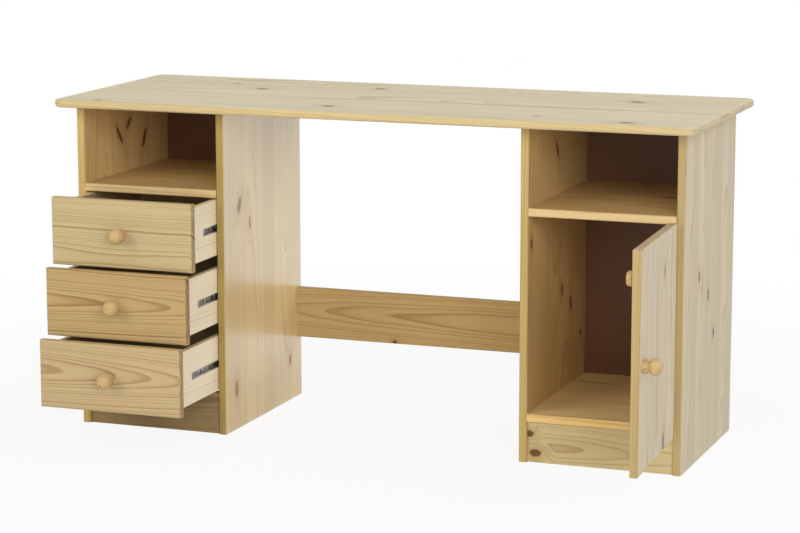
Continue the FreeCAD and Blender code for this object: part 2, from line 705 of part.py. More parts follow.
# Hinges. The door swings on a link between a pin in each arm and a pin in each cup. The link is laid out so that
# the door goes from closed to the layout angle as if it turned about one swing centre.
EDGE_X = derive("hinge_edge", RIGHT_INSIDE + INNER_WIDTH / 2 + s.front_width / 2)
SWING_X = derive("swing_x", EDGE_X + s.swing_side)
SWING_Y = derive("swing_y", CLOSED_FACE - s.board - s.swing_out)
CUP_PIN_X = derive("closed_cup_pin_x", EDGE_X - s.cup_pin_inset - SWING_X)
CUP_PIN_Y = derive("closed_cup_pin_y", CLOSED_FACE - s.cup_pin_depth - SWING_Y)
CUP_PIN_REACH = derive("cup_pin_reach", root(CUP_PIN_X * CUP_PIN_X + CUP_PIN_Y * CUP_PIN_Y))


def swung(angle, reach):
    """Point reached from the closed cup pin by a turn about the swing centre, at a distance from it."""
    scale = reach / CUP_PIN_REACH
    across = (CUP_PIN_X * cosine(angle) - CUP_PIN_Y * sine(angle)) * scale
    along = (CUP_PIN_X * sine(angle) + CUP_PIN_Y * cosine(angle)) * scale
    return SWING_X + across, SWING_Y + along


ARM_PIN = [derive("arm_pin_" + axis, size)
           for axis, size in zip("xy", swung(s.hinge_angle / 2, s.arm_reach))]
LINK_CLOSED = [derive("link_closed_" + axis, size - pin) for axis, size, pin in
               zip("xy", (SWING_X + CUP_PIN_X, SWING_Y + CUP_PIN_Y), ARM_PIN)]
LINK_OPEN = [derive("link_open_" + axis, size - pin) for axis, size, pin in
             zip("xy", swung(s.hinge_angle, CUP_PIN_REACH), ARM_PIN)]
LINK_LENGTH = derive("link_length", root(LINK_CLOSED[0] * LINK_CLOSED[0] + LINK_CLOSED[1] * LINK_CLOSED[1]))
CLOSED_BEARING = derive("closed_bearing", bearing(LINK_CLOSED[1], LINK_CLOSED[0]))
OPEN_BEARING = derive("open_bearing", bearing(LINK_OPEN[1], LINK_OPEN[0]))
LINK_BEARING = derive("link_bearing",
                      CLOSED_BEARING + (OPEN_BEARING - CLOSED_BEARING) * (s.door_open / s.hinge_angle))
CUP_PIN = [derive("cup_pin_" + axis, pin + LINK_LENGTH * share) for axis, pin, share in
           zip("xy", ARM_PIN, (cosine(LINK_BEARING), sine(LINK_BEARING)))]
HINGE_HEIGHTS = (s.front_bottom + s.hinge_inset, s.front_bottom + DOOR_HEIGHT - s.hinge_inset)

# On the door, x and y are measured from the cup pin, with the door closed.
DOOR_EDGE = s.cup_pin_inset
DOOR_INNER = s.cup_pin_depth
DOOR_OUTER = s.cup_pin_depth - s.board
DOOR_FREE = s.cup_pin_inset - s.front_width
CUP_X = DOOR_EDGE - s.cup_tab - s.cup / 2


def on_door(thing, at=(NOTHING, NOTHING, NOTHING)):
    """Put a thing at a point of the door, turned with it."""
    x, y, z = (Size.of(size) for size in at)
    return place(thing, (CUP_PIN[0] + x * cosine(s.door_open) - y * sine(s.door_open),
                         CUP_PIN[1] + x * sine(s.door_open) + y * cosine(s.door_open), z), s.door_open)


def hinge_cup(name, height, pin_bore):
    """Drawn cup with a flange on the door's inner face, drilled for its pin."""
    radius = s.cup / 2
    inner = radius - s.cup_metal
    shell = turned(name + "_shell", [
        (radius, NOTHING), (radius, -s.cup_depth), (NOTHING, -s.cup_depth), (NOTHING, s.cup_metal - s.cup_depth),
        (inner, s.cup_metal - s.cup_depth), (inner, NOTHING)])
    place(shell, (CUP_X, DOOR_INNER, height))
    strip = add_box(name + "_strip", (s.cup_flange_width, s.cup_metal, s.cup_flange),
                    (CUP_X - s.cup_flange_width / 2, DOOR_INNER, height - s.cup_flange / 2))
    ends = rounded(name + "_ends", strip, s.cup_flange_end, ("XMin", "XMax"), along="y")
    mouth = add_cylinder(name + "_mouth", 2 * inner, s.cup_metal, (CUP_X, DOOR_INNER, height), "y")
    flange = cut(name + "_flange", ends, [mouth])
    return cut(name, fuse(name + "_blank", [shell, flange]), [pin_bore])


def hinge_link(name, height):
    """Bowed link with an eye at each end: its x runs from the arm pin to the cup pin."""
    half = s.link_metal / 2
    bow = (LINK_LENGTH * LINK_LENGTH / 4 + s.link_bow * s.link_bow) / (2 * s.link_bow)
    strip = padded(name + "_strip", "XY_Plane", [
        (NOTHING, half, -bow), (LINK_LENGTH, half), (LINK_LENGTH, -half, bow), (NOTHING, -half)], s.link_width)
    place(strip, (NOTHING, NOTHING, height - s.link_width / 2))
    eyes = []
    bores = []
    for end, x in (("arm", NOTHING), ("cup", LINK_LENGTH)):
        at = (x, NOTHING, height)
        eyes.append(pin_along(f"{name}_{end}_eye", at, s.link_width / 2, s.link_eye))
        bores.append(pin_along(f"{name}_{end}_bore", at, s.link_width / 2, s.pin + 2 * s.pin_play))
    return cut(name, fuse(name + "_blank", [strip] + eyes), bores)


def hinge_arm(name, height, pin_bore):
    """Cranked arm on its plate, with a forked nose for the link."""
    outer = HINGE_FACE - s.plate_height
    inner = outer - s.arm_thickness
    end = FRONT + s.plate_setback + s.plate_length
    shoulder = FRONT + s.arm_shoulder
    nose = s.arm_nose / 2
    bar = padded(name + "_bar", "XY_Plane", [
        (outer, end), (inner, end), (inner, shoulder + nose), (ARM_PIN[0] - nose, ARM_PIN[1]),
        (ARM_PIN[0] + nose, ARM_PIN[1]), (outer, shoulder - nose)], s.arm_width)
    place(bar, (NOTHING, NOTHING, height - s.arm_width / 2))
    tip = pin_along(name + "_tip", (ARM_PIN[0], ARM_PIN[1], height), s.arm_width / 2, s.arm_nose)
    slot_width = s.link_width + 2 * s.link_play
    slot = add_box(name + "_slot", (LINK_LENGTH, s.arm_nose + s.link_slot, slot_width),
                   (ARM_PIN[0] - s.arm_nose, ARM_PIN[1] - s.arm_nose, height - slot_width / 2))
    return cut(name, fuse(name + "_blank", [bar, tip]), [slot, pin_bore])


def hinge_plate(name, height):
    """Plate on the pedestal side with wings for its screws."""
    base = add_box(name + "_base", (s.plate_height, s.plate_length, s.arm_width),
                   (HINGE_FACE - s.plate_height, FRONT + s.plate_setback, height - s.arm_width / 2))
    wings = add_box(name + "_wings", (s.plate_wing_height, s.plate_wing_width, s.plate_wing),
                    (HINGE_FACE - s.plate_wing_height,
                     FRONT + s.plate_setback + (s.plate_length - s.plate_wing_width) / 2,
                     height - s.plate_wing / 2))
    ends = rounded(name + "_ends", wings, s.plate_wing_end, ("YMin", "YMax"), along="x")
    return fuse(name, [base, ends])


def make_hinges():
    """Plates, arms and arm pins on the pedestal, links, and cups and cup pins on the door."""
    chord = (s.cup - s.cup_metal) / 2
    outmost = CUP_X - s.pin / 2
    cup_pin_half = root(chord * chord - outmost * outmost)
    sets = {name: [] for name in ("plates", "arms", "arm_pins", "links", "cups", "cup_pins")}
    for index, height in enumerate(HINGE_HEIGHTS):
        arm_at = (ARM_PIN[0], ARM_PIN[1], height)
        cup_at = (NOTHING, NOTHING, height)
        arm_bore = pin_along(f"arm_bore_{index}", arm_at, s.arm_width / 2, s.pin + 2 * s.glue_gap)
        cup_bore = pin_along(f"cup_bore_{index}", cup_at, cup_pin_half, s.pin + 2 * s.glue_gap)
        sets["plates"].append(hinge_plate(f"hinge_plate_{index}", height))
        sets["arms"].append(hinge_arm(f"hinge_arm_{index}", height, arm_bore))
        sets["arm_pins"].append(pin_along(f"arm_pin_{index}", arm_at, s.arm_width / 2, s.pin))
        sets["links"].append(hinge_link(f"hinge_link_{index}", height))
        sets["cups"].append(hinge_cup(f"hinge_cup_{index}", height, cup_bore))
        sets["cup_pins"].append(
            pin_along(f"cup_pin_{index}", cup_at, cup_pin_half - s.glue_gap, s.pin))
    groups = {name: node(group("hinge_" + name + "_group", things), "hinge_" + name)
              for name, things in sets.items()}
    place(groups["links"], (ARM_PIN[0], ARM_PIN[1], NOTHING), LINK_BEARING)
    on_door(groups["cups"])
    on_door(groups["cup_pins"])


def make_door():
    """Door panel bored for its hinge cups, with its knob, knob screw and the button on its inner face."""
    blank = add_box("door_blank", (s.front_width, s.board, DOOR_HEIGHT), (DOOR_FREE, DOOR_OUTER, s.front_bottom))
    edges = rounded("door_edges", blank, s.front_edge, ("YMin",))
    knob_x = DOOR_FREE + s.door_knob_inset
    seat = (knob_x, DOOR_INNER, s.door_knob_height)
    pockets = [add_cylinder(f"cup_pocket_{index}", s.cup + 2 * s.glue_gap, s.cup_depth + s.glue_gap,
                            (CUP_X, DOOR_INNER - s.cup_depth - s.glue_gap, height), "y")
               for index, height in enumerate(HINGE_HEIGHTS)]
    node(on_door(cut("door_bored", edges, pockets + [knob_bore("door_knob_bore", seat)])), "door_panel")
    node(on_door(turned_knob("door_knob_body"), (knob_x, DOOR_OUTER, s.door_knob_height)), "door_knob")
    node(on_door(group("door_knob_screw_group", [knob_screw("door_screw", seat)])), "door_knob_screw")
    stem = s.button_stem / 2
    rim = s.button_head / 2
    edge = s.button_length - s.button_crown
    shoulder = s.button_shoulder / 2
    button = turned("door_button_body", [
        (NOTHING, NOTHING), (stem, NOTHING), (stem, s.button_stem_length), (rim, s.button_stem_length),
        (rim, edge, -tangent_radius(rim - shoulder, s.button_crown)), (shoulder, s.button_length),
        (NOTHING, s.button_length)])
    node(on_door(button, (DOOR_FREE + s.button_inset, DOOR_INNER, s.button_height)), "door_button")


def check():
    """Stop if any object failed or any piece has no valid shape."""
    doc.recompute()
    for thing in doc.Objects:
        if "Invalid" in thing.State or "Error" in thing.State:
            raise RuntimeError(f"{thing.Label} failed: {thing.State}")
    for thing in nodes:
        if thing.Shape.isNull() or not thing.Shape.isValid() or not thing.Shape.Solids:
            raise RuntimeError(f"{thing.Label} has no valid shape")


def write():
    """Write each piece to a file of its own."""
    os.makedirs("parts", exist_ok=True)
    for thing in nodes:
        thing.Shape.exportStep(os.path.join("parts", thing.Label + ".step"))


make_carcass()
make_drawers()
make_hinges()
make_door()
check()
write()
print(len(nodes), "pieces written")
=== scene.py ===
"""Lacquered pine kneehole desk: finishes, small fittings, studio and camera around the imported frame."""

from __future__ import annotations

import logging
import math
from dataclasses import dataclass
from enum import Enum
from typing import Callable, Iterable, Sequence

import bmesh
import bpy
from mathutils import Euler, Matrix, Vector

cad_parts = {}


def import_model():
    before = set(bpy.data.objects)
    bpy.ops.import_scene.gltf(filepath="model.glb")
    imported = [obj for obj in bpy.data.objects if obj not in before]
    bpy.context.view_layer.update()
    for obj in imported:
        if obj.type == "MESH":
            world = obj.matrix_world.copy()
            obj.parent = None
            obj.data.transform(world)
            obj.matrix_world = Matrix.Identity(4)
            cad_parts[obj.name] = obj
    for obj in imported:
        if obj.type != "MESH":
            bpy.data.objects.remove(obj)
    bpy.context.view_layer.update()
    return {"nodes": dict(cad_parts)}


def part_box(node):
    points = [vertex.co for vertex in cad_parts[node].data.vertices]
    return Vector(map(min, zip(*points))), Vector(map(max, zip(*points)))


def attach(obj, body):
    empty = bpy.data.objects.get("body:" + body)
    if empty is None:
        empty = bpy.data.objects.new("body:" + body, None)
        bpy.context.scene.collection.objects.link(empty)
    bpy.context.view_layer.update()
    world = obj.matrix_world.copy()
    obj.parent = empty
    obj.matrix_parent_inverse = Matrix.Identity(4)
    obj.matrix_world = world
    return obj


Colour = tuple[float, float, float, float]
Socket = bpy.types.NodeSocket
Tree = bpy.types.NodeTree
Piece = bpy.types.Object
Material = bpy.types.Material

LOG = logging.getLogger("kneehole_desk")
WHITE = (1.0, 1.0, 1.0, 1.0)
# How far the door stands open at rest, in degrees.
DOOR_ANGLE = 92.8
# Edges that turn by less than this are shaded smooth.
SMOOTH_ANGLE = math.radians(35)
# Share of a normal along an axis from which a face counts as looking that way.
FACING = 0.9
# Where a board's edges, ends and inner faces with painted shade, and a panel's raw face, start to show on
# rounded corners.
EDGE_START = 0.3
END_START = 0.55
INSIDE_SHADE_START = 0.5
RAW_STEP = (0.4, 0.8)
# Lacquer: its refraction, the share of the coat that a knot takes away and the tint of an average board.
CLEAR_IOR = 1.5
KNOT_DULLING = 0.6
EVEN_TINT = 0.5
# Reliefs: depth in metres, and the share of it that shows.
STEEL_RELIEF = (0.0002, 0.2)
HARDBOARD_RELIEF = (0.0004, 0.4)
DOWEL_RELIEF = (0.0003, 0.3)


def srgb(red: int, green: int, blue: int) -> Colour:
    """Turn a display colour into the linear colour that a shader takes.

    Args:
        red: Red share from 0 to 255.
        green: Green share from 0 to 255.
        blue: Blue share from 0 to 255.

    Returns:
        The linear colour with full alpha.
    """
    linear = []
    for share in (red, green, blue):
        level = share / 255
        linear.append(level / 12.92 if level <= 0.04045 else ((level + 0.055) / 1.055) ** 2.4)
    return linear[0], linear[1], linear[2], 1.0


class Lay(Enum):
    """How a board lies: the axes along its grain, across it and through it."""

    FLAT = ("X", "Y", "Z")
    UPRIGHT = ("Z", "Y", "X")
    RAIL = ("X", "Z", "Y")
    DRAWER_SIDE = ("Y", "Z", "X")
    DOOR = ("Z", "X", "Y")


class Kind(Enum):
    """Kinds of group socket."""

    NUMBER = "NodeSocketFloat"
    VECTOR = "NodeSocketVector"
    COLOUR = "NodeSocketColor"


class Drawer(Enum):
    """The three drawers: name, front of the channels and height of the slides at rest, in metres."""

    TOP = ("top", -0.2795, 0.4635)
    MIDDLE = ("middle", -0.3125, 0.3115)
    BOTTOM = ("bottom", -0.3495, 0.1595)

    @property
    def body(self) -> str:
        """Name of the drawer's body."""
        return f"{self.value[0]}_drawer"


@dataclass(frozen=True)
class PineFinish:
    """One shade of lacquered pine: its wood, its edges and end grain, its coat, its relief and its knots.

    spacing is the mean width of a ring in metres. relief holds the depth of the grain in metres and the share
    of it that shows. edge lays painted light and shade on the long edges over a warmer tone of the cut, and
    raw is a painted shade on the inner faces of drawer boxes.
    """

    early: Colour
    late: Colour
    contrast: float
    spacing: float = 0.0042
    # Tint of the long edges: painted light and shade by the way they face, over a warmer tone of the cut.
    edge: Colour = (0.92, 0.86, 0.69, 1.0)
    roughness: float = 0.5
    end_shade: float = 0.08
    end_bold: float = 1.1
    gloss: float = 0.22
    sheen: float = 0.04
    sheen_roughness: float = 0.35
    sheen_ior: float = 1.5
    relief: tuple[float, float] = (0.0004, 0.35)
    knot: Colour = srgb(96, 66, 34)
    # Tint of the inner faces of drawer boxes: a painted shade.
    raw: Colour = (0.5, 0.4, 0.26, 1.0)


@dataclass(frozen=True)
class SteelFinish:
    """One plating: its name, its clean and its smudged colour, and its mean roughness."""

    name: str
    bright: Colour
    dull: Colour
    roughness: float


class Metal(Enum):
    """The platings of the fittings, and the shade in the slots of the slides."""

    SLIDE = SteelFinish("slide_steel", srgb(208, 208, 210), srgb(156, 156, 159), 0.32)
    NICKEL = SteelFinish("hinge_nickel", srgb(206, 203, 196), srgb(172, 168, 160), 0.24)
    ZINC = SteelFinish("screw_zinc", srgb(188, 188, 190), srgb(140, 140, 142), 0.3)
    SLOT = SteelFinish("slot_shade", srgb(46, 44, 42), srgb(26, 25, 24), 0.6)


@dataclass(frozen=True)
class Knot:
    """A knot, by its place along and across the grain: in the frame, or from the middle of a turned board."""

    along: float
    across: float
    radius: float
    stretch: float = 1.5
    lean: float = 0.0


@dataclass(frozen=True)
class Board:
    """Grain of one pine board.

    seed says where it is cut from the figure. A board has staves of a mean width, or else one heart, placed
    across and through it, with a tilt along it. inward is the direction of the faces that get a painted
    shade, or 0, and turn is the board's own turn about Z, in degrees.
    """

    node: str
    lay: Lay
    finish: PineFinish
    seed: float
    staves: float = 0.0
    heart: tuple[float, float] = (0.0, -0.05)
    tilt: float = 0.04
    sway: float = 0.012
    inward: float = 0.0
    turn: float = 0.0
    knots: tuple[Knot, ...] = ()


# Painted highlight on the top edges of the drawer fronts: an edge tint brighter than the wood.
FRONT_EDGE_HIGHLIGHT = (1.1, 1.08, 1.04, 1.0)
TOP_FRONT_PINE = PineFinish(srgb(195, 178, 138), srgb(142, 108, 62), 0.78, 0.0058, FRONT_EDGE_HIGHLIGHT)
MIDDLE_FRONT_PINE = PineFinish(srgb(186, 162, 116), srgb(132, 94, 52), 0.80, 0.0050, FRONT_EDGE_HIGHLIGHT)
BOTTOM_FRONT_PINE = PineFinish(srgb(193, 173, 134), srgb(142, 106, 62), 0.78, 0.0060, FRONT_EDGE_HIGHLIGHT)
RAIL_PINE = PineFinish(srgb(201, 184, 141), srgb(158, 128, 80), 0.7, 0.0060)
# Left plinth: a darker copy of the rail pine, a painted shadow of the drawers above it.
PAINTED_SHADOW_PINE = PineFinish(srgb(152, 131, 93), srgb(117, 90, 54), 0.75, 0.0060)
STRETCHER_PINE = PineFinish(srgb(191, 164, 115), srgb(146, 110, 60), 0.75, 0.0060)
TOP_PINE = PineFinish(srgb(222, 210, 178), srgb(180, 153, 112), 0.7, 0.0050, (0.93, 0.84, 0.66, 1.0),
                      end_shade=0.12, end_bold=1.4)
# Its dark edge tint is a painted shade of the drawers on the front edge of the kneehole side.
KNEEHOLE_PINE = PineFinish(srgb(219, 198, 150), srgb(182, 150, 97), 0.68, 0.0048,
                           (0.555, 0.502, 0.303, 1.0), sheen=1.0, sheen_roughness=0.26, sheen_ior=2.2,
                           knot=srgb(150, 112, 52))
# Its dark edge tint is a painted shade of the open door on the front edge of the right outer side.
SIDE_PINE = PineFinish(srgb(204, 190, 163), srgb(166, 142, 104), 0.74, 0.0046, (0.77, 0.69, 0.46, 1.0),
                       end_shade=0.3, end_bold=0.7)
INNER_PINE = PineFinish(srgb(216, 184, 128), srgb(178, 136, 78), 0.75, 0.0052, (0.84, 0.9, 0.8, 1.0))
# The cupboard's inner wall: a darker copy of the inner pine, a painted shade.
DIM_PINE = PineFinish(srgb(201, 171, 117), srgb(166, 126, 72), 0.75, 0.0052, (0.92, 0.99, 0.92, 1.0))
# Its bright edge tint is a painted highlight on the front edges of the shelves.
SHELF_PINE = PineFinish(srgb(210, 180, 126), srgb(172, 132, 78), 0.7, 0.0052, (1.1, 1.2, 1.40, 1.0))
FLOOR_PINE = PineFinish(srgb(248, 222, 168), srgb(204, 164, 108), 0.8, 0.0052)
DRAWER_PINE = PineFinish(srgb(253, 244, 222), srgb(224, 198, 152), 0.5, 0.0050)
TURNED_PINE = PineFinish(srgb(203, 174, 122), srgb(134, 94, 50), 1.0, 0.0036, gloss=0.35, sheen=0.1,
                         sheen_roughness=0.3, relief=(0.0003, 0.3))
END_GRAIN = srgb(226, 180, 112)
SMOOTH_HARDBOARD = (srgb(94, 60, 39), srgb(120, 80, 52))
RAW_HARDBOARD = (srgb(128, 88, 56), srgb(168, 124, 84))
BEECH = (srgb(196, 158, 116), srgb(172, 132, 92))


@dataclass(frozen=True)
class Wire:
    """A value in a shader tree, with the usual arithmetic on numbers."""

    graph: Graph
    socket: Socket

    def __add__(self, other: Value) -> Wire:
        """Sum of two numbers."""
        return self.graph.math("ADD", self, other)

    def __sub__(self, other: Value) -> Wire:
        """Difference of two numbers."""
        return self.graph.math("SUBTRACT", self, other)

    def __rsub__(self, other: Value) -> Wire:
        """Difference from a plain number."""
        return self.graph.math("SUBTRACT", other, self)

    def __mul__(self, other: Value) -> Wire:
        """Product of two numbers."""
        return self.graph.math("MULTIPLY", self, other)

    def __truediv__(self, other: Value) -> Wire:
        """Quotient of two numbers."""
        return self.graph.math("DIVIDE", self, other)


Value = Wire | float


class Graph:
    """Short calls that add nodes to a shader tree and join them."""

    def __init__(self, tree: Tree) -> None:
        """Work on one node tree."""
        self.tree = tree

    def feed(self, socket: Socket, value: object) -> None:
        """Join a socket to a wire, or set its value.

        Args:
            socket: The input to feed.
            value: A wire, or a plain value of the socket's kind.
        """
        if isinstance(value, Wire):
            self.tree.links.new(value.socket, socket)
        else:
            socket.default_value = value

    def add(self, kind: str, settings: dict | None = None, feeds: dict | None = None) -> bpy.types.Node:
        """Add a node.

        Args:
            kind: The node's type name.
            settings: Properties to set on it.
            feeds: Its inputs by name or index, with a value or a wire each.

        Returns:
            The new node.
        """
        node = self.tree.nodes.new(kind)
        for name, value in (settings or {}).items():
            setattr(node, name, value)
        for name, value in (feeds or {}).items():
            self.feed(node.inputs[name], value)
        return node

    def wire(self, kind: str, settings: dict | None = None, feeds: dict | None = None,
             output: int | str = 0) -> Wire:
        """Add a node and return one of its outputs."""
        return Wire(self, self.add(kind, settings, feeds).outputs[output])

    def math(self, operation: str, *values: Value) -> Wire:
        """Add a math node on numbers and return its result."""
        return self.wire("ShaderNodeMath", {"operation": operation}, dict(enumerate(values)))

    def vector(self, operation: str, *values: object) -> Wire:
        """Add a vector math node and return its result."""
        return self.wire("ShaderNodeVectorMath", {"operation": operation}, dict(enumerate(values)))

    def split(self, vector: Wire) -> tuple[Wire, ...]:
        """Return the three parts of a vector."""
        node = self.add("ShaderNodeSeparateXYZ", feeds={0: vector})
        return tuple(Wire(self, part) for part in node.outputs)

    def join(self, *parts: Value) -> Wire:
        """Return a vector of three parts."""
        return self.wire("ShaderNodeCombineXYZ", feeds=dict(enumerate(parts)))

    def reach(self, first: Wire, second: Wire) -> Wire:
        """Return the length of two parts that are square to each other."""
        return self.math("SQRT", first * first + second * second)

    def size(self, value: Wire) -> Wire:
        """Return a number without its sign."""
        return self.math("ABSOLUTE", value)

    def noise(self, vector: Wire, stretch: Sequence[float], detail: float = 2.0) -> Wire:
        """Return noise around one half on a place, with a number of waves per metre along each axis."""
        place = self.vector("MULTIPLY", vector, tuple(stretch))
        return self.wire("ShaderNodeTexNoise", feeds={"Vector": place, "Scale": 1.0, "Detail": detail})

    def ramp(self, value: Value, low: float, high: float, start: float = 0.0, stop: float = 1.0) -> Wire:
        """Return a smooth step of a value: start up to the low limit, stop from the high one on."""
        return self.wire("ShaderNodeMapRange", {"interpolation_type": "SMOOTHSTEP"}, {
            "Value": value, "From Min": low, "From Max": high, "To Min": start, "To Max": stop})

    def mix(self, share: Value, first: object, second: object, blend: str = "MIX") -> Wire:
        """Return a mix of two colours, with a share of the second one."""
        settings = {"data_type": "RGBA", "blend_type": blend}
        return self.wire("ShaderNodeMix", settings, {0: share, 6: first, 7: second}, 2)

    def tint(self, colour: Wire, filtering: Wire) -> Wire:
        """Return the product of two colours."""
        return self.mix(1.0, colour, filtering, "MULTIPLY")


class Group(Graph):
    """A shader node group with named inputs and outputs."""

    def __init__(self, name: str, inputs: dict[Kind, Sequence[str]],
                 outputs: dict[Kind, Sequence[str]]) -> None:
        """Make an empty group.

        Args:
            name: The group's name.
            inputs: Names of the inputs by kind.
            outputs: Names of the outputs by kind.
        """
        super().__init__(bpy.data.node_groups.new(name, "ShaderNodeTree"))
        for way, sockets in (("INPUT", inputs), ("OUTPUT", outputs)):
            for kind, labels in sockets.items():
                for label in labels:
                    self.tree.interface.new_socket(name=label, in_out=way, socket_type=kind.value)
        self.source = self.tree.nodes.new("NodeGroupInput")
        self.sink = self.tree.nodes.new("NodeGroupOutput")

    def __getitem__(self, name: str) -> Wire:
        """Return one of the group's inputs as a source."""
        return Wire(self, self.source.outputs[name])

    def give(self, results: dict[str, Wire]) -> Tree:
        """Send the results to the group's outputs.

        Args:
            results: The results by the outputs' names.

        Returns:
            The finished tree.
        """
        for name, result in results.items():
            self.feed(self.sink.inputs[name], result)
        return self.tree


LOOK = {Kind.COLOUR: ("Colour",), Kind.NUMBER: ("Roughness", "Height")}


class ShaderGroups:
    """The shader groups that the materials share."""

    def __init__(self) -> None:
        """Build every group once."""
        self.staves = self._staves()
        self.knot = self._knot()
        self.rings = self._rings()
        self.fibre = self._fibre()
        self.lacquer = self._lacquer()
        self.hardboard = self._hardboard()
        self.steel = self._steel()

    @staticmethod
    def _staves() -> Tree:
        """Glue a board up from staves: each has its own heart, tint and stretch of grain.

        Returns:
            The group's tree.
        """
        group = Group("pine_staves", {Kind.VECTOR: ("Board",), Kind.NUMBER: ("Width", "Seed")},
                      {Kind.VECTOR: ("Board",),
                       Kind.NUMBER: ("Heart Across", "Heart Through", "Tilt", "Tint", "Seam")})
        along, across, through = group.split(group["Board"])
        width, seed = group["Width"], group["Seed"]
        uneven = group.math("SINE", across * 23.0 + seed) * 0.22
        place = across / width + (uneven + seed)
        index = group.math("FLOOR", place)
        share = place - index
        chance = group.wire("ShaderNodeTexWhiteNoise", {"noise_dimensions": "2D"},
                            {"Vector": group.join(index, seed, 0.0)}, "Color")
        first, second, third = group.split(chance)
        edge = group.math("MINIMUM", share, 1.0 - share) * width
        return group.give({
            "Board": group.join(first * 5.0 + along, (share - 0.5) * width, through),
            "Heart Across": (second - 0.5) * (width * 2.2), "Heart Through": third * -0.09 - 0.02,
            "Tilt": first * 0.06 - 0.03, "Tint": third, "Seam": group.ramp(edge, 0.0001, 0.0009, 1.0, 0.0)})

    @staticmethod
    def _knot() -> Tree:
        """One knot: its dark body, the halo round it and the push that it gives to the rings.

        Returns:
            The group's tree.
        """
        group = Group("pine_knot",
                      {Kind.VECTOR: ("Board",),
                       Kind.NUMBER: ("Along", "Across", "Radius", "Stretch", "Lean", "Body", "Halo", "Push")},
                      {Kind.NUMBER: ("Body", "Halo", "Push")})
        along, across, _ = group.split(group["Board"])
        ahead = along - group["Along"]
        aside = across - group["Across"] - ahead * group["Lean"]
        wobble = group.noise(group["Board"], (120.0, 160.0, 40.0)) - 0.5
        far = wobble * 0.0030 + group.reach(ahead / group["Stretch"], aside)
        share = far / group["Radius"]
        ringed = group.math("SINE", far * 4200.0) * 0.07 + 0.93
        body = group.ramp(share, 0.72, 1.08, 1.0, 0.0) * ringed
        halo = group.ramp(share, 0.7, 3.4, 1.0, 0.0)
        return group.give({
            "Body": group.math("MAXIMUM", body, group["Body"]),
            "Halo": group.math("MAXIMUM", halo, group["Halo"]),
            "Push": halo * group["Radius"] * 1.5 + group["Push"]})

    @staticmethod
    def _rings() -> Tree:
        """Growth rings round a heart that runs along the board, with dark late wood at each ring's end.

        Returns:
            The group's tree.
        """
        group = Group("pine_rings",
                      {Kind.VECTOR: ("Board",),
                       Kind.NUMBER: ("Heart Across", "Heart Through", "Tilt", "Sway", "Spacing", "Push")},
                      {Kind.NUMBER: ("Late",)})
        along, across, through = group.split(group["Board"])
        drift = group.noise(group["Board"], (2.1, 6.0, 6.0), 1.0) - 0.5
        ripple = group.noise(group["Board"], (9.0, 22.0, 22.0), 1.0) - 0.5
        sway = (ripple * 0.22 + drift) * group["Sway"]
        side = across - group["Heart Across"] + sway
        deep = through - group["Heart Through"] + (along * group["Tilt"] + sway)
        radius = group.reach(side, deep) + group["Push"]
        uneven = group.wire("ShaderNodeTexNoise", {"noise_dimensions": "1D"},
                            {"W": radius, "Scale": 70.0, "Detail": 1.0})
        phase = radius / group["Spacing"] + uneven * 3.2
        index = group.math("FLOOR", phase)
        share = phase - index
        rise = group.ramp(share, 0.6, 0.92) * 0.82 + group.ramp(share, 0.05, 0.7) * 0.18
        fall = group.ramp(share, 0.93, 1.0, 1.0, 0.0)
        chance = group.wire("ShaderNodeTexWhiteNoise", {"noise_dimensions": "1D"}, {"W": index}, "Value")
        return group.give({"Late": rise * fall * (chance * 0.65 + 0.35)})

    @staticmethod
    def _fibre() -> Tree:
        """Fine fibres, short resin flecks and slow mottling along the grain.

        Returns:
            The group's tree.
        """
        group = Group("pine_fibre", {Kind.VECTOR: ("Board",)}, {Kind.NUMBER: ("Fibre", "Fleck", "Mottle")})
        fleck = group.noise(group["Board"], (38.0, 900.0, 900.0), 1.0)
        return group.give({
            "Fibre": group.noise(group["Board"], (9.0, 520.0, 520.0), 3.0),
            "Fleck": group.ramp(fleck, 0.68, 0.80),
            "Mottle": group.noise(group["Board"], (3.0, 24.0, 24.0))})

    @staticmethod
    def _lacquer() -> Tree:
        """Colour, gloss and relief of lacquered pine from its grain, with painted light and shade on edges
        and inner faces.

        Returns:
            The group's tree.
        """
        group = Group("pine_lacquer", {
            Kind.NUMBER: ("Late", "Fibre", "Fleck", "Mottle", "Tint", "Seam", "Knot", "Halo", "End", "Edge",
                          "Inside", "Contrast", "End Shade", "End Bold", "Roughness"),
            Kind.COLOUR: ("Early Wood", "Late Wood", "Knot Wood", "Edge Tint", "Raw Tint")}, LOOK)
        end, fleck, seam = group["End"], group["Fleck"], group["Seam"]
        late = group["Late"] * group["Contrast"] * (end * group["End Bold"] + 1.0)
        late = group.math("MINIMUM", late, 1.0)
        wood = group.mix(late, group["Early Wood"], group["Late Wood"])
        wood = group.mix(group["Halo"] * 0.38, wood, group["Late Wood"])
        fibre = group["Fibre"] - 0.5
        mottle = group["Mottle"] - 0.5
        tint = group["Tint"] - EVEN_TINT
        level = fibre * 0.10 + mottle * 0.16 + tint * 0.11 + 1.0
        level = level - fleck * 0.10 - late * end * 0.28 - seam * 0.24
        wood = group.tint(wood, group.join(tint * 0.05 + level, level, level))
        wood = group.mix(group["Knot"], wood, group["Knot Wood"])
        # Tints over the wood: the warm tone of end grain, a painted shade on the inner faces of drawer boxes,
        # and on the long edges painted light and shade over a warmer tone of the cut.
        for share, tone in ((end * group["End Shade"], END_GRAIN), (group["Inside"], group["Raw Tint"]),
                            (group["Edge"], group["Edge Tint"])):
            wood = group.tint(wood, group.mix(share, WHITE, tone))
        return group.give({
            "Colour": wood,
            "Roughness": group["Roughness"] + fibre * 0.14 - group["Late"] * 0.06 + end * 0.16,
            "Height": (group["Late"] + fibre + group["Knot"]) * 0.5 - fleck * 0.6 - seam * 0.9})

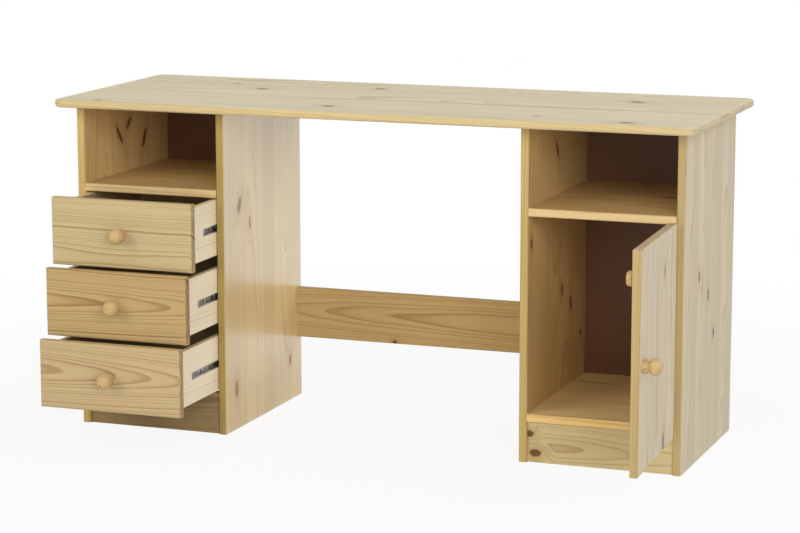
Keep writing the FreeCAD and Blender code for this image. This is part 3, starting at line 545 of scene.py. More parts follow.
    @staticmethod
    def _hardboard() -> Tree:
        """Brown hardboard: a smooth stained face, and a raw face with the print of a wire mesh.

        Returns:
            The group's tree.
        """
        group = Group("hardboard_press", {Kind.VECTOR: ("Place", "Mesh"), Kind.NUMBER: ("Raw",)}, LOOK)
        speck = group.noise(group["Place"], (420.0, 420.0, 420.0), 3.0)
        cloud = group.noise(group["Place"], (9.0, 9.0, 9.0))
        first, second, _ = group.split(group.vector("MULTIPLY", group["Mesh"], (1900.0, 1900.0, 1900.0)))
        weave = group.math("SINE", first) * group.math("SINE", second)
        smooth = group.mix(cloud * 0.6 + speck * 0.4, *SMOOTH_HARDBOARD)
        rough = group.mix(speck, *RAW_HARDBOARD)
        return group.give({
            "Colour": group.mix(group["Raw"], smooth, rough),
            "Roughness": group["Raw"] * 0.3 + speck * 0.14 + 0.40,
            "Height": weave * group["Raw"] * 0.6 + speck * 0.3})

    @staticmethod
    def _steel() -> Tree:
        """Plated steel: streaks along Y, and smudges.

        Returns:
            The group's tree.
        """
        group = Group("plated_steel", {
            Kind.VECTOR: ("Place",), Kind.COLOUR: ("Bright", "Dull"), Kind.NUMBER: ("Roughness",)}, LOOK)
        streak = group.noise(group["Place"], (1500.0, 18.0, 1500.0))
        smudge = group.ramp(group.noise(group["Place"], (60.0, 45.0, 60.0), 3.0), 0.35, 0.7)
        return group.give({
            "Colour": group.mix(streak * 0.35 + smudge * 0.65, group["Bright"], group["Dull"]),
            "Roughness": smudge * 0.16 + group["Roughness"] + streak * 0.08, "Height": streak})


class Paint:
    """A material with a principled shader, to be fed by shader groups."""

    def __init__(self, name: str) -> None:
        """Make the material with a bare principled shader.

        Args:
            name: The material's name.
        """
        self.material = bpy.data.materials.new(name)
        self.material.use_nodes = True
        self.graph = Graph(self.material.node_tree)
        self.shader = self.material.node_tree.nodes["Principled BSDF"]
        coordinates = self.graph.add("ShaderNodeTexCoord").outputs
        self.point = Wire(self.graph, coordinates["Object"])
        self.normal = Wire(self.graph, coordinates["Normal"])

    def set(self, **values: object) -> None:
        """Set plain values on the shader's own sockets, by name with underscores for spaces."""
        for name, value in values.items():
            self.shader.inputs[name.replace("_", " ")].default_value = value

    def place(self, group: Tree, feeds: dict[str, object]) -> dict[str, Wire]:
        """Place a shader group in the material, feed its inputs and return its outputs."""
        node = self.graph.add("ShaderNodeGroup", {"node_tree": group}, feeds)
        return {socket.name: Wire(self.graph, socket) for socket in node.outputs}

    def local(self, centre: Vector, turn: Euler) -> Wire:
        """Return the object coordinates from a centre, turned to the grain's axes."""
        return self.graph.wire("ShaderNodeMapping", {"vector_type": "POINT"}, {
            "Vector": self.point, "Location": -(turn.to_matrix() @ centre), "Rotation": turn})

    def facing(self, turn: Euler) -> Wire:
        """Return the direction of the surface, turned to the grain's axes."""
        feeds = {"Vector": self.normal, "Rotation": turn}
        return self.graph.wire("ShaderNodeMapping", {"vector_type": "VECTOR"}, feeds)

    def surface(self, look: dict[str, Wire], depth: float, strength: float) -> None:
        """Feed the shader's colour and roughness, and its normal through a bump.

        Args:
            look: Colour, roughness and height by name.
            depth: Depth of the relief, in metres.
            strength: Share of the relief that shows.
        """
        bump = self.graph.wire("ShaderNodeBump", feeds={
            "Strength": strength, "Distance": depth, "Height": look["Height"]})
        feeds = {"Base Color": look["Colour"], "Roughness": look["Roughness"], "Normal": bump}
        for name, value in feeds.items():
            self.graph.feed(self.shader.inputs[name], value)


class LacquerPaint(Paint):
    """Lacquered pine, from its rings and the marks on it."""

    def lacquer(self, groups: ShaderGroups, finish: PineFinish, rings: dict[str, Value],
                marks: dict[str, Value]) -> None:
        """Join the rings, the fibres and the lacquer, and set the gloss.

        Args:
            groups: The shared shader groups.
            finish: The shade of pine.
            rings: What the group of the rings takes, apart from their spacing.
            marks: What the group of the lacquer takes besides the grain and the shade.
        """
        grain = self.place(groups.rings, rings | {"Spacing": finish.spacing})
        grain |= self.place(groups.fibre, {"Board": rings["Board"]})
        shade = {"Contrast": finish.contrast, "End Shade": finish.end_shade, "End Bold": finish.end_bold,
                 "Roughness": finish.roughness, "Early Wood": finish.early, "Late Wood": finish.late,
                 "Knot Wood": finish.knot, "Edge Tint": finish.edge, "Raw Tint": finish.raw}
        self.surface(self.place(groups.lacquer, grain | marks | shade), *finish.relief)
        self.set(Coat_Weight=finish.sheen, Coat_Roughness=finish.sheen_roughness, Coat_IOR=finish.sheen_ior,
                 IOR=CLEAR_IOR, Specular_IOR_Level=finish.gloss)


class PinePaint(LacquerPaint):
    """Lacquered pine for one board."""

    def __init__(self, board: Board, groups: ShaderGroups) -> None:
        """Build the board's material.

        Args:
            board: The board's grain.
            groups: The shared shader groups.
        """
        super().__init__(f"{board.node}_pine")
        self.board = board
        self.groups = groups
        low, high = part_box(board.node)
        centre = (low + high) / 2
        turn = Euler((0.0, 0.0, -math.radians(board.turn)))
        order = ["XYZ".index(axis) for axis in board.lay.value]
        place = self.graph.split(self.local(centre, turn))
        normal = self.graph.split(self.facing(turn))
        self.grain = self.graph.join(*(place[axis] for axis in order))
        along, across, through = (normal[axis] for axis in order)
        edge = self.graph.ramp(self.graph.size(across), EDGE_START, FACING)
        knots = self._knots([0.0, 0.0] if board.turn else [centre[axis] for axis in order[:2]])
        rings, marks = self._figure()
        rings |= {"Sway": board.sway, "Push": knots["Push"]}
        # The edge mask carries the painted light and shade of the long edges, the inside mask the painted
        # shade on the inner faces of drawer boxes.
        marks |= {"Knot": knots["Body"], "Halo": knots["Halo"], "Edge": edge,
                  "End": self.graph.ramp(self.graph.size(along), END_START, FACING),
                  "Inside": self.graph.ramp(through * board.inward, INSIDE_SHADE_START, FACING)}
        self.lacquer(groups, board.finish, rings, marks)
        dull = self.graph.math("MAXIMUM", edge, knots["Body"] * KNOT_DULLING)
        self.graph.feed(self.shader.inputs["Coat Weight"], (1.0 - dull) * board.finish.sheen)

    def _knots(self, origin: Sequence[float]) -> dict[str, Value]:
        """Chain the board's knots.

        Args:
            origin: Where the grain's coordinates start, along and across.

        Returns:
            The bodies, halos and pushes of all knots.
        """
        sums: dict[str, Value] = {"Body": 0.0, "Halo": 0.0, "Push": 0.0}
        for knot in self.board.knots:
            sums = self.place(self.groups.knot, sums | {
                "Board": self.grain, "Along": knot.along - origin[0], "Across": knot.across - origin[1],
                "Radius": knot.radius, "Stretch": knot.stretch, "Lean": knot.lean})
        return sums

    def _figure(self) -> tuple[dict[str, Value], dict[str, Value]]:
        """Glue the board up from staves, or cut it from one heart.

        Returns:
            What the group of the rings takes of it, and the board's tint and seams.
        """
        board = self.board
        if board.staves:
            figure = self.place(self.groups.staves, {
                "Board": self.grain, "Width": board.staves, "Seed": board.seed})
            return figure, {name: figure.pop(name) for name in ("Tint", "Seam")}
        across, through = board.heart
        shifted = self.graph.vector("ADD", self.grain, (board.seed, 0.0, 0.0))
        figure = {"Board": shifted, "Heart Across": across, "Tilt": board.tilt,
                  "Heart Through": through + board.seed * board.tilt}
        return figure, {"Tint": EVEN_TINT}


class SteelPaint(Paint):
    """Plated steel with rolling streaks and smudges."""

    def __init__(self, finish: SteelFinish, groups: ShaderGroups) -> None:
        """Build the metal.

        Args:
            finish: The plating.
            groups: The shared shader groups.
        """
        super().__init__(finish.name)
        look = self.place(groups.steel, {"Place": self.point, "Bright": finish.bright, "Dull": finish.dull,
                                         "Roughness": finish.roughness})
        self.surface(look, *STEEL_RELIEF)
        self.set(Metallic=1.0)


class HardboardPaint(Paint):
    """Dark brown hardboard for one panel."""

    def __init__(self, node: str, raw_axis: int, raw_sign: float, groups: ShaderGroups) -> None:
        """Build the panel's material.

        Args:
            node: The panel's node.
            raw_axis: Axis that the raw face looks along.
            raw_sign: Direction along that axis.
            groups: The shared shader groups.
        """
        super().__init__(f"{node}_hardboard")
        flat = [part for axis, part in enumerate(self.graph.split(self.point)) if axis != raw_axis]
        away = self.graph.split(self.normal)[raw_axis] * raw_sign
        look = self.place(groups.hardboard, {"Place": self.point, "Mesh": self.graph.join(*flat, 0.0),
                                             "Raw": self.graph.ramp(away, *RAW_STEP)})
        self.surface(look, *HARDBOARD_RELIEF)


class Bench:
    """Modelling steps on one object at a time, as at a bench."""

    @staticmethod
    def clear() -> None:
        """Put down what was being worked on: object mode, with nothing selected."""
        active = bpy.context.view_layer.objects.active
        if active and active.mode != "OBJECT":
            bpy.ops.object.mode_set(mode="OBJECT")
        bpy.ops.object.select_all(action="DESELECT")

    @staticmethod
    def hold(piece: Piece) -> None:
        """Take up one object: selected and active.

        Args:
            piece: The object.
        """
        Bench.clear()
        piece.select_set(True)
        bpy.context.view_layer.objects.active = piece

    @staticmethod
    def drop(piece: Piece) -> None:
        """Throw an object away."""
        Bench.hold(piece)
        bpy.ops.object.delete()

    @staticmethod
    def rod(radius: float, length: float, sides: int) -> Piece:
        """Add a round blank that stands on the origin.

        Args:
            radius: Radius in metres.
            length: Length in metres.
            sides: Number of sides.

        Returns:
            The blank, active and selected.
        """
        Bench.clear()
        bpy.ops.mesh.primitive_cylinder_add(vertices=sides, radius=radius, depth=length,
                                            location=(0.0, 0.0, length / 2))
        bpy.ops.object.transform_apply(location=True, rotation=True, scale=True)
        return bpy.context.active_object

    @staticmethod
    def block(size: Sequence[float], centre: Sequence[float]) -> Piece:
        """Add a block of a size at a centre.

        Args:
            size: Lengths along X, Y and Z in metres.
            centre: The block's centre.

        Returns:
            The block, active and selected.
        """
        Bench.clear()
        bpy.ops.mesh.primitive_cube_add(size=1.0, location=centre)
        bpy.context.active_object.scale = size
        bpy.ops.object.transform_apply(location=True, rotation=True, scale=True)
        return bpy.context.active_object

    @staticmethod
    def pick(piece: Piece, faces: Callable[[bmesh.types.BMFace], bool]) -> None:
        """Go to edit mode and select the faces that pass a test.

        Args:
            piece: The object to edit.
            faces: Test on a face.
        """
        Bench.hold(piece)
        bpy.ops.object.mode_set(mode="EDIT")
        bpy.ops.mesh.select_mode(type="FACE")
        bpy.ops.mesh.select_all(action="DESELECT")
        mesh = bmesh.from_edit_mesh(piece.data)
        for face in mesh.faces:
            face.select_set(faces(face))
        mesh.select_flush_mode()
        bmesh.update_edit_mesh(piece.data)

    @staticmethod
    def pick_top(piece: Piece) -> None:
        """Go to edit mode and select the faces that look up."""
        Bench.pick(piece, lambda face: face.normal.z > FACING)

    @staticmethod
    def round_top(piece: Piece, offset: float, segments: int) -> None:
        """Round the rim of an object's top.

        Args:
            piece: The object.
            offset: Width of the rounding, in metres.
            segments: Number of steps in it.
        """
        Bench.pick_top(piece)
        bpy.ops.mesh.bevel(offset=offset, segments=segments, profile=0.5, affect="EDGES")
        bpy.ops.object.mode_set(mode="OBJECT")

    @staticmethod
    def smooth(piece: Piece) -> Piece:
        """Shade an object smooth between its sharp edges.

        Args:
            piece: The object.

        Returns:
            The same object.
        """
        Bench.hold(piece)
        bpy.ops.object.shade_smooth_by_angle(angle=SMOOTH_ANGLE)
        return piece

    @staticmethod
    def carve(piece: Piece, cutter: Piece) -> None:
        """Cut one object out of another and throw the cutter away.

        Args:
            piece: The object to cut.
            cutter: The tool.
        """
        Bench.hold(piece)
        cutting = piece.modifiers.new("recess", "BOOLEAN")
        cutting.operation = "DIFFERENCE"
        cutting.solver = "EXACT"
        cutting.object = cutter
        bpy.ops.object.modifier_apply(modifier=cutting.name)
        Bench.drop(cutter)

    @staticmethod
    def gather(pieces: Sequence[Piece], name: str) -> Piece:
        """Join objects into one piece.

        Args:
            pieces: The objects.
            name: The piece's name.

        Returns:
            The piece.
        """
        Bench.clear()
        for piece in pieces:
            piece.select_set(True)
        bpy.context.view_layer.objects.active = pieces[0]
        bpy.ops.object.join()
        pieces[0].name = name
        pieces[0].data.name = name
        return pieces[0]

    @staticmethod
    def spread(pattern: Piece, places: Iterable[Matrix], name: str) -> Piece:
        """Copy a finished pattern to its places, as one piece.

        Args:
            pattern: The object modelled about the origin.
            places: Where each copy goes.
            name: The piece's name.

        Returns:
            The piece.
        """
        copies = []
        for place in places:
            copy = pattern.copy()
            copy.data = pattern.data.copy()
            copy.data.transform(place)
            bpy.context.scene.collection.objects.link(copy)
            copies.append(copy)
        return Bench.gather(copies, name)


def looking(place: Sequence[float], direction: Sequence[float], roll: float = 0.0) -> Matrix:
    """Place for a pattern whose Z axis should look along a direction.

    Args:
        place: Where its origin goes, in metres.
        direction: Where its Z axis points.
        roll: Turn about that axis, in degrees.

    Returns:
        The placing matrix.
    """
    turn = Vector(direction).to_track_quat("Z", "Y").to_matrix().to_4x4()
    return Matrix.Translation(Vector(place)) @ turn @ Matrix.Rotation(math.radians(roll), 4, "Z")


def coat(piece: Piece, material: Material) -> None:
    """Give an object one material in its first slot.

    Args:
        piece: The object.
        material: Its material.
    """
    if piece.material_slots:
        piece.material_slots[0].material = material
    else:
        piece.data.materials.append(material)
    LOG.info("%s is dressed in %s", piece.name, material.name)


def finish_piece(piece: Piece, body: str, material: Material) -> None:
    """Coat a new piece and let it ride on its body.

    Args:
        piece: The piece.
        body: The body that it moves with.
        material: Its material.
    """
    piece.data.materials.clear()
    coat(piece, material)
    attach(piece, body)
    LOG.info("%s rides on %s", piece.name, body)


@dataclass(frozen=True)
class Stock:
    """What the sub-assemblies take from: the frame's nodes, the shader groups and the metals."""

    nodes: dict[str, Piece]
    groups: ShaderGroups
    metals: dict[Metal, Material]

    def pine(self, board: Board) -> None:
        """Dress a board in its own pine."""
        coat(self.nodes[board.node], PinePaint(board, self.groups).material)

    def hardboard(self, node: str, raw_axis: int, raw_sign: float) -> None:
        """Dress a panel in hardboard, with its raw face along an axis."""
        coat(self.nodes[node], HardboardPaint(node, raw_axis, raw_sign, self.groups).material)

    def metal(self, node: str, metal: Metal) -> None:
        """Dress a fitting in a metal."""
        coat(self.nodes[node], self.metals[metal])


@dataclass
class Assembly:
    """A sub-assembly, which takes its nodes and materials from the stock."""

    stock: Stock


@dataclass(frozen=True)
class ScrewHead:
    """Pan-head screw with a cross recess, modelled about the origin with its seat at z 0.

    The shares are of the radius for the recess's arm and width, and of the height for the others.
    """

    radius: float
    height: float
    sides: int = 20
    arm_share: float = 1.15
    width_share: float = 0.24
    depth_share: float = 0.7
    round_share: float = 0.6
    round_steps: int = 3

    def model(self) -> Piece:
        """Model the head.

        Returns:
            The pattern.
        """
        head = Bench.rod(self.radius, self.height, self.sides)
        Bench.round_top(head, self.height * self.round_share, self.round_steps)
        arm = self.radius * self.arm_share
        width = self.radius * self.width_share
        deep = self.height * self.depth_share
        for size in ((arm, width, deep), (width, arm, deep)):
            Bench.carve(head, Bench.block(size, (0.0, 0.0, self.height)))
        return Bench.smooth(head)


@dataclass(frozen=True)
class Eyelet:
    """Stamped slot with a raised rim and a sunk floor, modelled along X about the origin."""

    length: float
    width: float
    height: float
    sides: int = 20
    rim_share: float = 0.12
    sink_share: float = 0.7
    side_share: float = 0.02

    def model(self) -> Piece:
        """Model the slot.

        Returns:
            The pattern.
        """
        slot = Bench.rod(self.width / 2, self.height, self.sides)
        half = (self.length - self.width) / 2
        if half > 0:
            for sign in (-1.0, 1.0):
                Bench.pick(slot, lambda face, sign=sign: abs(face.normal.z) < 0.5
                           and face.calc_center_median().x * sign > self.width * self.side_share)
                bpy.ops.transform.translate(value=(sign * half, 0.0, 0.0))
        Bench.pick_top(slot)
        bpy.ops.mesh.inset(thickness=self.width * self.rim_share, depth=0.0)
        sink = (0.0, 0.0, -self.height * self.sink_share)
        bpy.ops.mesh.extrude_region_move(TRANSFORM_OT_translate={"value": sink})
        bpy.ops.object.mode_set(mode="OBJECT")
        return Bench.smooth(slot)

    @staticmethod
    def shade(piece: Piece, material: Material, step: float) -> None:
        """Give the sunk floors of stamped slots a dark second material.

        Args:
            piece: The stamped piece, whose floors lie lower than its rims and look along X.
            material: The dark material.
            step: Least depth of a floor, in metres.
        """
        piece.data.materials.append(material)
        for side in (-1.0, 1.0):
            faces = [face for face in piece.data.polygons if face.normal.x * side > FACING]
            reach = max(face.center.x * side for face in faces)
            for face in faces:
                if face.center.x * side < reach - step:
                    face.material_index = 1


@dataclass
class Carcass(Assembly):
    """Top, pedestals, back panels and stretcher, and the nails of the back panels."""

    nail_radius: float = 0.0019
    nail_height: float = 0.0007
    nail_sides: int = 12
    nail_rounding: float = 0.00035
    nail_steps: int = 2
    nail_step: float = 0.1
    nail_inset: float = 0.0045
    nail_start: float = 0.02
    panel_back: float = 0.2155
    panel_low: float = 0.070
    panel_high: float = 0.722
    panels: tuple[tuple[float, float], ...] = ((-0.6859, -0.3490), (0.3490, 0.6859))
    boards: tuple[Board, ...] = (
        Board("desk_top", Lay.FLAT, TOP_PINE, 3.3, staves=0.098, sway=0.016, knots=(
            Knot(-0.622, -0.253, 0.007), Knot(-0.369, 0.070, 0.010), Knot(-0.107, -0.182, 0.011),
            Knot(-0.117, 0.161, 0.009), Knot(0.369, -0.192, 0.005), Knot(0.573, -0.240, 0.009, 2.0),
            Knot(0.500, 0.112, 0.011, 1.8, -0.3), Knot(-0.468, 0.153, 0.005),
            Knot(0.37, -0.040, 0.0019, 190.0), Knot(-0.143, -0.059, 0.0013, 125.0, 0.12))),
        Board("left_outer_side", Lay.UPRIGHT, INNER_PINE, 1.7, staves=0.072, knots=(
            Knot(0.656, 0.006, 0.008, 1.8, 0.7), Knot(0.634, -0.041, 0.008, 3.0, -0.7),
            Knot(0.613, 0.087, 0.008, 3.0, 0.35), Knot(0.30, 0.05, 0.010), Knot(0.15, -0.12, 0.012),
            Knot(0.44, 0.16, 0.008))),
        Board("left_inner_side", Lay.UPRIGHT, KNEEHOLE_PINE, 5.2, staves=0.083, knots=(
            Knot(0.505, -0.133, 0.010, 2.0, 0.35), Knot(0.456, -0.076, 0.005, 3.2),
            Knot(0.096, 0.150, 0.007, 2.0), Knot(0.092, -0.158, 0.009, 2.2))),
        Board("right_inner_side", Lay.UPRIGHT, DIM_PINE, 8.9, staves=0.066, knots=(
            Knot(0.645, -0.012, 0.008, 2.8, -0.5), Knot(0.469, -0.193, 0.006, 2.0),
            Knot(0.330, 0.030, 0.007, 1.8), Knot(0.288, 0.098, 0.007, 2.8, -0.2),
            Knot(0.206, 0.178, 0.006))),
        Board("right_outer_side", Lay.UPRIGHT, SIDE_PINE, 2.6, staves=0.064, knots=(
            Knot(0.400, -0.088, 0.006, 2.2), Knot(0.348, -0.006, 0.006, 2.2),
            Knot(0.255, 0.046, 0.006, 2.2))),
        Board("left_shelf", Lay.FLAT, SHELF_PINE, 4.1, staves=0.09),
        Board("right_shelf", Lay.FLAT, SHELF_PINE, 6.4, staves=0.085, knots=(
            Knot(0.60, 0.02, 0.008, 2.5),)),
        Board("right_floor", Lay.FLAT, FLOOR_PINE, 7.7, staves=0.078),
        Board("left_plinth", Lay.RAIL, PAINTED_SHADOW_PINE, 0.8, heart=(0.03, -0.035), tilt=0.05),
        Board("right_plinth", Lay.RAIL, RAIL_PINE, 2.2, heart=(-0.01, -0.045), tilt=0.03, knots=(
            Knot(0.363, 0.062, 0.008, 1.2), Knot(0.376, 0.021, 0.009, 1.6))),
        Board("stretcher", Lay.RAIL, STRETCHER_PINE, 0.4, heart=(0.004, -0.04), tilt=-0.035, sway=0.016,
              knots=(Knot(0.262, 0.196, 0.006, 1.4), Knot(-0.095, 0.147, 0.005, 1.2))))

    def dress(self) -> None:
        """Give every carcass board its finish."""
        for board in self.boards:
            self.stock.pine(board)
        for node in ("left_back_panel", "right_back_panel"):
            self.stock.hardboard(node, 1, 1.0)

    def build(self) -> None:
        """Nail the back panels down along their edges."""
        pattern = Bench.rod(self.nail_radius, self.nail_height, self.nail_sides)
        Bench.round_top(pattern, self.nail_rounding, self.nail_steps)
        places = []
        rows = int((self.panel_high - self.panel_low) / self.nail_step)
        for left, right in self.panels:
            for x in (left + self.nail_inset, right - self.nail_inset):
                for row in range(rows + 1):
                    height = self.panel_low + self.nail_start + row * self.nail_step
                    places.append(looking((x, self.panel_back, height), (0.0, 1.0, 0.0)))
        nails = Bench.spread(pattern, places, "back_panel_nails")
        Bench.drop(pattern)
        finish_piece(nails, "carcass", self.stock.metals[Metal.ZINC])


@dataclass
class DrawerStack(Assembly):
    """Three drawers with their knobs and slides, and the stamped details of the slides."""

    web: float = 0.0095
    inside: tuple[float, float] = (-0.677, -0.358)
    rail_front: float = -0.1515
    rail_plate: float = 0.001
    rail_screws: tuple[float, ...] = (0.024, 0.290)
    screw: ScrewHead = ScrewHead(0.0031, 0.0015)
    screw_roll: float = 20.0
    slots: tuple[tuple[float, float, float], ...] = (
        (0.010, 0.0060, 0.0110), (0.028, 0.0062, 0.0062), (0.039, 0.0062, 0.0062), (0.058, 0.016, 0.0066),
        (0.082, 0.0066, 0.0066), (0.104, 0.016, 0.0066))
    slot_height: float = 0.0005
    slot_step: float = 0.0002
    slot_roll: float = 90.0
    fronts: tuple[tuple[Drawer, PineFinish, float, tuple[float, float], float, float], ...] = (
        (Drawer.TOP, TOP_FRONT_PINE, 0.7, (-0.052, -0.042), 0.004, 0.010),
        (Drawer.MIDDLE, MIDDLE_FRONT_PINE, 1.9, (0.006, -0.036), 0.045, 0.014),
        (Drawer.BOTTOM, BOTTOM_FRONT_PINE, 2.6, (0.010, -0.040), 0.060, 0.014))
    # Box parts: name, lay, seed shift, heart, and the direction into the drawer, whose faces get a painted
    # shade.
    box: tuple[tuple[str, Lay, float, tuple[float, float], float], ...] = (
        ("left_side", Lay.DRAWER_SIDE, 1.1, (0.08, -0.03), 1.0),
        ("right_side", Lay.DRAWER_SIDE, 2.3, (-0.09, -0.04), -1.0),
        ("back", Lay.RAIL, 3.2, (0.05, -0.05), -1.0))

    def dress(self) -> None:
        """Give every drawer piece its finish."""
        for drawer, finish, seed, heart, tilt, sway in self.fronts:
            self.stock.pine(Board(f"{drawer.body}_front", Lay.RAIL, finish, seed, heart=heart, tilt=tilt,
                                  sway=sway))
            for part, lay, shift, core, inward in self.box:
                self.stock.pine(Board(f"{drawer.body}_{part}", lay, DRAWER_PINE, seed + shift, heart=core,
                                      inward=inward))
            self.stock.hardboard(f"{drawer.body}_bottom", 2, -1.0)
            for part in ("rails", "channels", "cages"):
                self.stock.metal(f"{drawer.body}_{part}", Metal.SLIDE)
            self.stock.metal(f"{drawer.body}_knob_screw", Metal.ZINC)

    def build(self) -> None:
        """Stamp the channels and screw the rails on."""
        left, right = self.inside
        webs = ((left + self.web, -1.0), (right - self.web, 1.0))
        plates = ((left + self.rail_plate, 1.0), (right - self.rail_plate, -1.0))
        head = self.screw.model()
        for drawer in Drawer:
            name, front, height = drawer.value
            stamps = []
            for start, length, width in self.slots:
                pattern = Eyelet(length, width, self.slot_height).model()
                places = [looking((x, front + start, height), (way, 0.0, 0.0), self.slot_roll)
                          for x, way in webs]
                stamps.append(Bench.spread(pattern, places, f"{name}_stamp"))
                Bench.drop(pattern)
            slots = Bench.gather(stamps, f"{name}_channel_slots")
            finish_piece(slots, drawer.body, self.stock.metals[Metal.SLIDE])
            Eyelet.shade(slots, self.stock.metals[Metal.SLOT], self.slot_step)
            places = [looking((x, self.rail_front + start, height), (way, 0.0, 0.0), self.screw_roll)
                      for start in self.rail_screws for x, way in plates]
            screws = Bench.spread(head, places, f"{name}_rail_screws")
            finish_piece(screws, "carcass", self.stock.metals[Metal.ZINC])
        Bench.drop(head)


@dataclass
class Cupboard(Assembly):
    """Door with its knob, button and concealed hinges, and the screws of the hinges."""

    pin: tuple[float, float] = (0.6689217, -0.2472549)
    heights: tuple[float, float] = (0.160, 0.463)
    cup_across: float = -0.0135
    cup_face: float = 0.0028
    cup_screw: float = 0.024
    cup_roll: float = 30.0
    wing_face: float = 0.6745
    wing_middle: float = -0.1785
    wing_screw: float = 0.015
    wing_roll: float = 15.0
    arm_face: float = 0.666
    arm_screws: tuple[float, ...] = (-0.163, -0.180)
    arm_roll: float = 60.0
    screw: ScrewHead = ScrewHead(0.0035, 0.0018)
    door: Board = Board("door_panel", Lay.DOOR, SIDE_PINE, 3.9, staves=0.072, turn=DOOR_ANGLE, knots=(
        Knot(0.147, 0.053, 0.005, 2.6), Knot(-0.208, 0.062, 0.008, 2.8)))

    def dress(self) -> None:
        """Give the door and its fittings their finishes."""
        self.stock.pine(self.door)
        for part in ("plates", "arms", "arm_pins", "links", "cups", "cup_pins"):
            self.stock.metal(f"hinge_{part}", Metal.NICKEL)
        self.stock.metal("door_knob_screw", Metal.ZINC)

    def build(self) -> None:
        """Screw the hinges to the side and to the door."""
        angle = math.radians(DOOR_ANGLE)
        cosine, sine = math.cos(angle), math.sin(angle)
        cup_x = self.pin[0] + self.cup_across * cosine - self.cup_face * sine
        cup_y = self.pin[1] + self.cup_across * sine + self.cup_face * cosine
        inwards = (-1.0, 0.0, 0.0)
        fixed = []
        swinging = []
        for height in self.heights:
            for sign in (-1.0, 1.0):
                cup = (cup_x, cup_y, height + sign * self.cup_screw)
                swinging.append(looking(cup, (-sine, cosine, 0.0), self.cup_roll))
                wing = (self.wing_face, self.wing_middle, height + sign * self.wing_screw)
                fixed.append(looking(wing, inwards, self.wing_roll))
            for place in self.arm_screws:
                fixed.append(looking((self.arm_face, place, height), inwards, self.arm_roll))
        head = self.screw.model()
        for places, name, body in ((fixed, "hinge_plate_screws", "carcass"),
                                   (swinging, "hinge_cup_screws", "door")):
            finish_piece(Bench.spread(head, places, name), body, self.stock.metals[Metal.ZINC])
        Bench.drop(head)


@dataclass
class TurnedWood(Assembly):
    """Knobs and the door button, turned across the grain so that the rings show as eyes."""

    heart: tuple[float, float] = (0.01, -0.09)
    heart_step: float = -0.01
    tilt: float = 0.05
    sway: float = 0.004
    cuts: tuple[tuple[str, tuple[float, float, float]], ...] = (
        ("top_drawer_knob", (20.0, 55.0, 10.0)), ("middle_drawer_knob", (65.0, 20.0, 0.0)),
        ("bottom_drawer_knob", (72.0, -8.0, 15.0)), ("door_knob", (60.0, 0.0, 70.0)),
        ("door_button", (10.0, 20.0, 60.0)))

    def dress(self) -> None:
        """Give each turned piece its own cut of the grain."""
        across, through = self.heart
        for index, (node, angles) in enumerate(self.cuts):
            paint = LacquerPaint(f"{node}_pine")
            low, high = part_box(node)
            turn = Euler([math.radians(angle) for angle in angles])
            rings = {"Board": paint.local((low + high) / 2, turn), "Heart Across": across,
                     "Heart Through": through + self.heart_step * index, "Tilt": self.tilt, "Sway": self.sway}
            paint.lacquer(self.stock.groups, TURNED_PINE, rings, {"Tint": EVEN_TINT})
            coat(self.stock.nodes[node], paint.material)


@dataclass
class Dowels(Assembly):
    """Fluted beech dowels, glued in."""

    names: tuple[str, ...] = ("top_dowels", "carcass_dowels", "top_drawer_dowels", "middle_drawer_dowels",
                              "bottom_drawer_dowels")

    def dress(self) -> None:
        """Give the dowels their bare wood."""
        paint = Paint("bare_beech")
        grain = paint.place(self.stock.groups.fibre, {"Board": paint.point})
        look = {"Colour": paint.graph.mix(grain["Fibre"], *BEECH), "Roughness": grain["Mottle"] * 0.2 + 0.55,
                "Height": grain["Fibre"]}
        paint.surface(look, *DOWEL_RELIEF)
        for name in self.names:
            coat(self.stock.nodes[name], paint.material)


@dataclass(frozen=True)
class Lamp:
    """A square soft lamp: name, place, length of its side, power in watts and tint."""

    name: str
    place: tuple[float, float, float]
    side: float
    power: float
    tint: tuple[float, float, float]

    def hang(self, aim: Vector) -> None:
        """Hang the lamp.

        Args:
            aim: The point that it looks at.
        """
        data = bpy.data.lights.new(self.name, "AREA")
        data.shape = "SQUARE"
        data.size = self.side
        data.energy = self.power
        data.color = self.tint
        lamp = bpy.data.objects.new(self.name, data)
        lamp.location = self.place
        lamp.rotation_euler = (aim - lamp.location).to_track_quat("-Z", "Y").to_euler()
        bpy.context.scene.collection.objects.link(lamp)


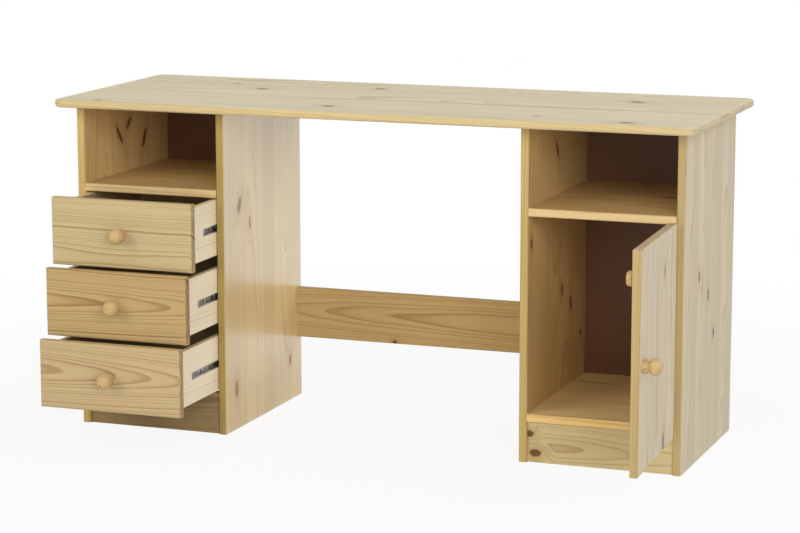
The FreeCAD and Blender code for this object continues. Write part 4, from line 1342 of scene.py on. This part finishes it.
@dataclass
class Studio:
    """Pale floor, soft lamps, white surround and the camera.

    The floor is white to the camera from floor_fade outwards, and in mirrors from mirror_fade outwards.
    """

    floor_size: float = 60.0
    floor_tones: tuple[Colour, Colour] = ((0.86, 0.86, 0.86, 1.0), (0.88, 0.88, 0.88, 1.0))
    floor_glow: float = 0.9
    floor_fade: tuple[float, float] = (0.8, 2.2)
    mirror_fade: tuple[float, float] = (0.1, 0.9)
    ambient: float = 0.10
    aim: tuple[float, float, float] = (0.0, -0.1, 0.4)
    lamps: tuple[Lamp, ...] = (
        Lamp("left_softbox", (-4.5, -6.5, 3.6), 5.0, 284.0, (1.0, 0.91, 0.73)),
        Lamp("front_softbox", (3.4, -7.6, 3.4), 5.0, 224.0, (1.0, 0.96, 0.88)),
        Lamp("right_softbox", (6.0, -6.5, 2.8), 5.0, 276.0, (0.99, 0.99, 1.0)),
        Lamp("rear_softbox", (6.0, 4.0, 4.5), 5.0, 214.0, (0.99, 0.99, 1.0)),
        Lamp("overhead_softbox", (0.0, 0.4, 5.6), 4.0, 68.0, (1.0, 0.99, 0.97)))
    camera_place: tuple[float, float, float] = (2.01422, -5.43141, 1.42186)
    camera_yaw: float = -0.35669
    camera_pitch: float = -0.18056
    camera_roll: float = 0.00092
    camera_lens: float = 118.969
    camera_sensor: float = 36.0

    @staticmethod
    def rays(graph: Graph) -> tuple[Wire, Wire]:
        """Return 1 for rays straight from the camera, and 1 for mirrored rays."""
        path = graph.add("ShaderNodeLightPath").outputs
        return Wire(graph, path["Is Camera Ray"]), Wire(graph, path["Is Glossy Ray"])

    def floor(self) -> None:
        """Lay a pale floor that keeps the desk's shadow."""
        Bench.clear()
        bpy.ops.mesh.primitive_plane_add(size=self.floor_size, location=(0.0, 0.0, 0.0))
        floor = bpy.context.active_object
        floor.name = "studio_floor"
        paint = Paint("studio_floor_paint")
        graph = paint.graph
        cloud = graph.noise(paint.point, (0.7, 0.7, 0.7))
        graph.feed(paint.shader.inputs["Base Color"], graph.mix(cloud, *self.floor_tones))
        paint.set(Roughness=0.9, Specular_IOR_Level=0.1)
        matt = Wire(graph, paint.shader.outputs[0])
        white = graph.wire("ShaderNodeEmission", feeds={"Color": WHITE, "Strength": 1.0})
        away = graph.wire("ShaderNodeVectorMath", {"operation": "LENGTH"}, {0: paint.point}, "Value")
        straight, mirrored = self.rays(graph)
        glow = graph.ramp(away, *self.floor_fade, self.floor_glow, 1.0)
        share = straight * glow + mirrored * graph.ramp(away, *self.mirror_fade)
        blend = graph.wire("ShaderNodeMixShader", feeds={0: share, 1: matt, 2: white})
        graph.feed(paint.material.node_tree.nodes["Material Output"].inputs["Surface"], blend)
        coat(floor, paint.material)

    def surround(self) -> None:
        """White surround for the camera and in mirrors, softer light for the desk."""
        world = bpy.data.worlds.new("studio_surround")
        bpy.context.scene.world = world
        world.use_nodes = True
        graph = Graph(world.node_tree)
        background = world.node_tree.nodes["Background"]
        seen = graph.math("MAXIMUM", *self.rays(graph))
        graph.feed(background.inputs["Color"], WHITE)
        graph.feed(background.inputs["Strength"], graph.ramp(seen, 0.0, 1.0, self.ambient, 1.0))

    def light(self) -> None:
        """Hang the lamps: warm ones at the left and in front, neutral ones at the right, behind and above."""
        for lamp in self.lamps:
            lamp.hang(Vector(self.aim))

    def camera(self) -> None:
        """Set the camera up at the photograph's viewing angle."""
        data = bpy.data.cameras.new("photo_camera")
        data.sensor_width = self.camera_sensor
        data.lens = self.camera_lens
        camera = bpy.data.objects.new("photo_camera", data)
        yaw, pitch = self.camera_yaw, self.camera_pitch
        level = math.cos(pitch)
        forward = Vector((math.sin(yaw) * level, math.cos(yaw) * level, math.sin(pitch)))
        turn = forward.to_track_quat("-Z", "Y").to_matrix() @ Matrix.Rotation(-self.camera_roll, 3, "Z")
        camera.matrix_world = Matrix.Translation(Vector(self.camera_place)) @ turn.to_4x4()
        bpy.context.scene.collection.objects.link(camera)
        bpy.context.scene.camera = camera
        bpy.context.scene.view_settings.view_transform = "Standard"


def main() -> None:
    """Build the finishes and fittings, then the studio."""
    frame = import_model()
    nodes = frame["nodes"]
    Bench.clear()
    groups = ShaderGroups()
    stock = Stock(nodes, groups, {metal: SteelPaint(metal.value, groups).material for metal in Metal})
    for assembly in (Carcass(stock), DrawerStack(stock), Cupboard(stock)):
        assembly.dress()
        assembly.build()
    TurnedWood(stock).dress()
    Dowels(stock).dress()
    studio = Studio()
    studio.floor()
    studio.surround()
    studio.light()
    studio.camera()
    Bench.clear()


if __name__ == "__main__":
    logging.basicConfig(level=logging.INFO, format="%(message)s")
    main()
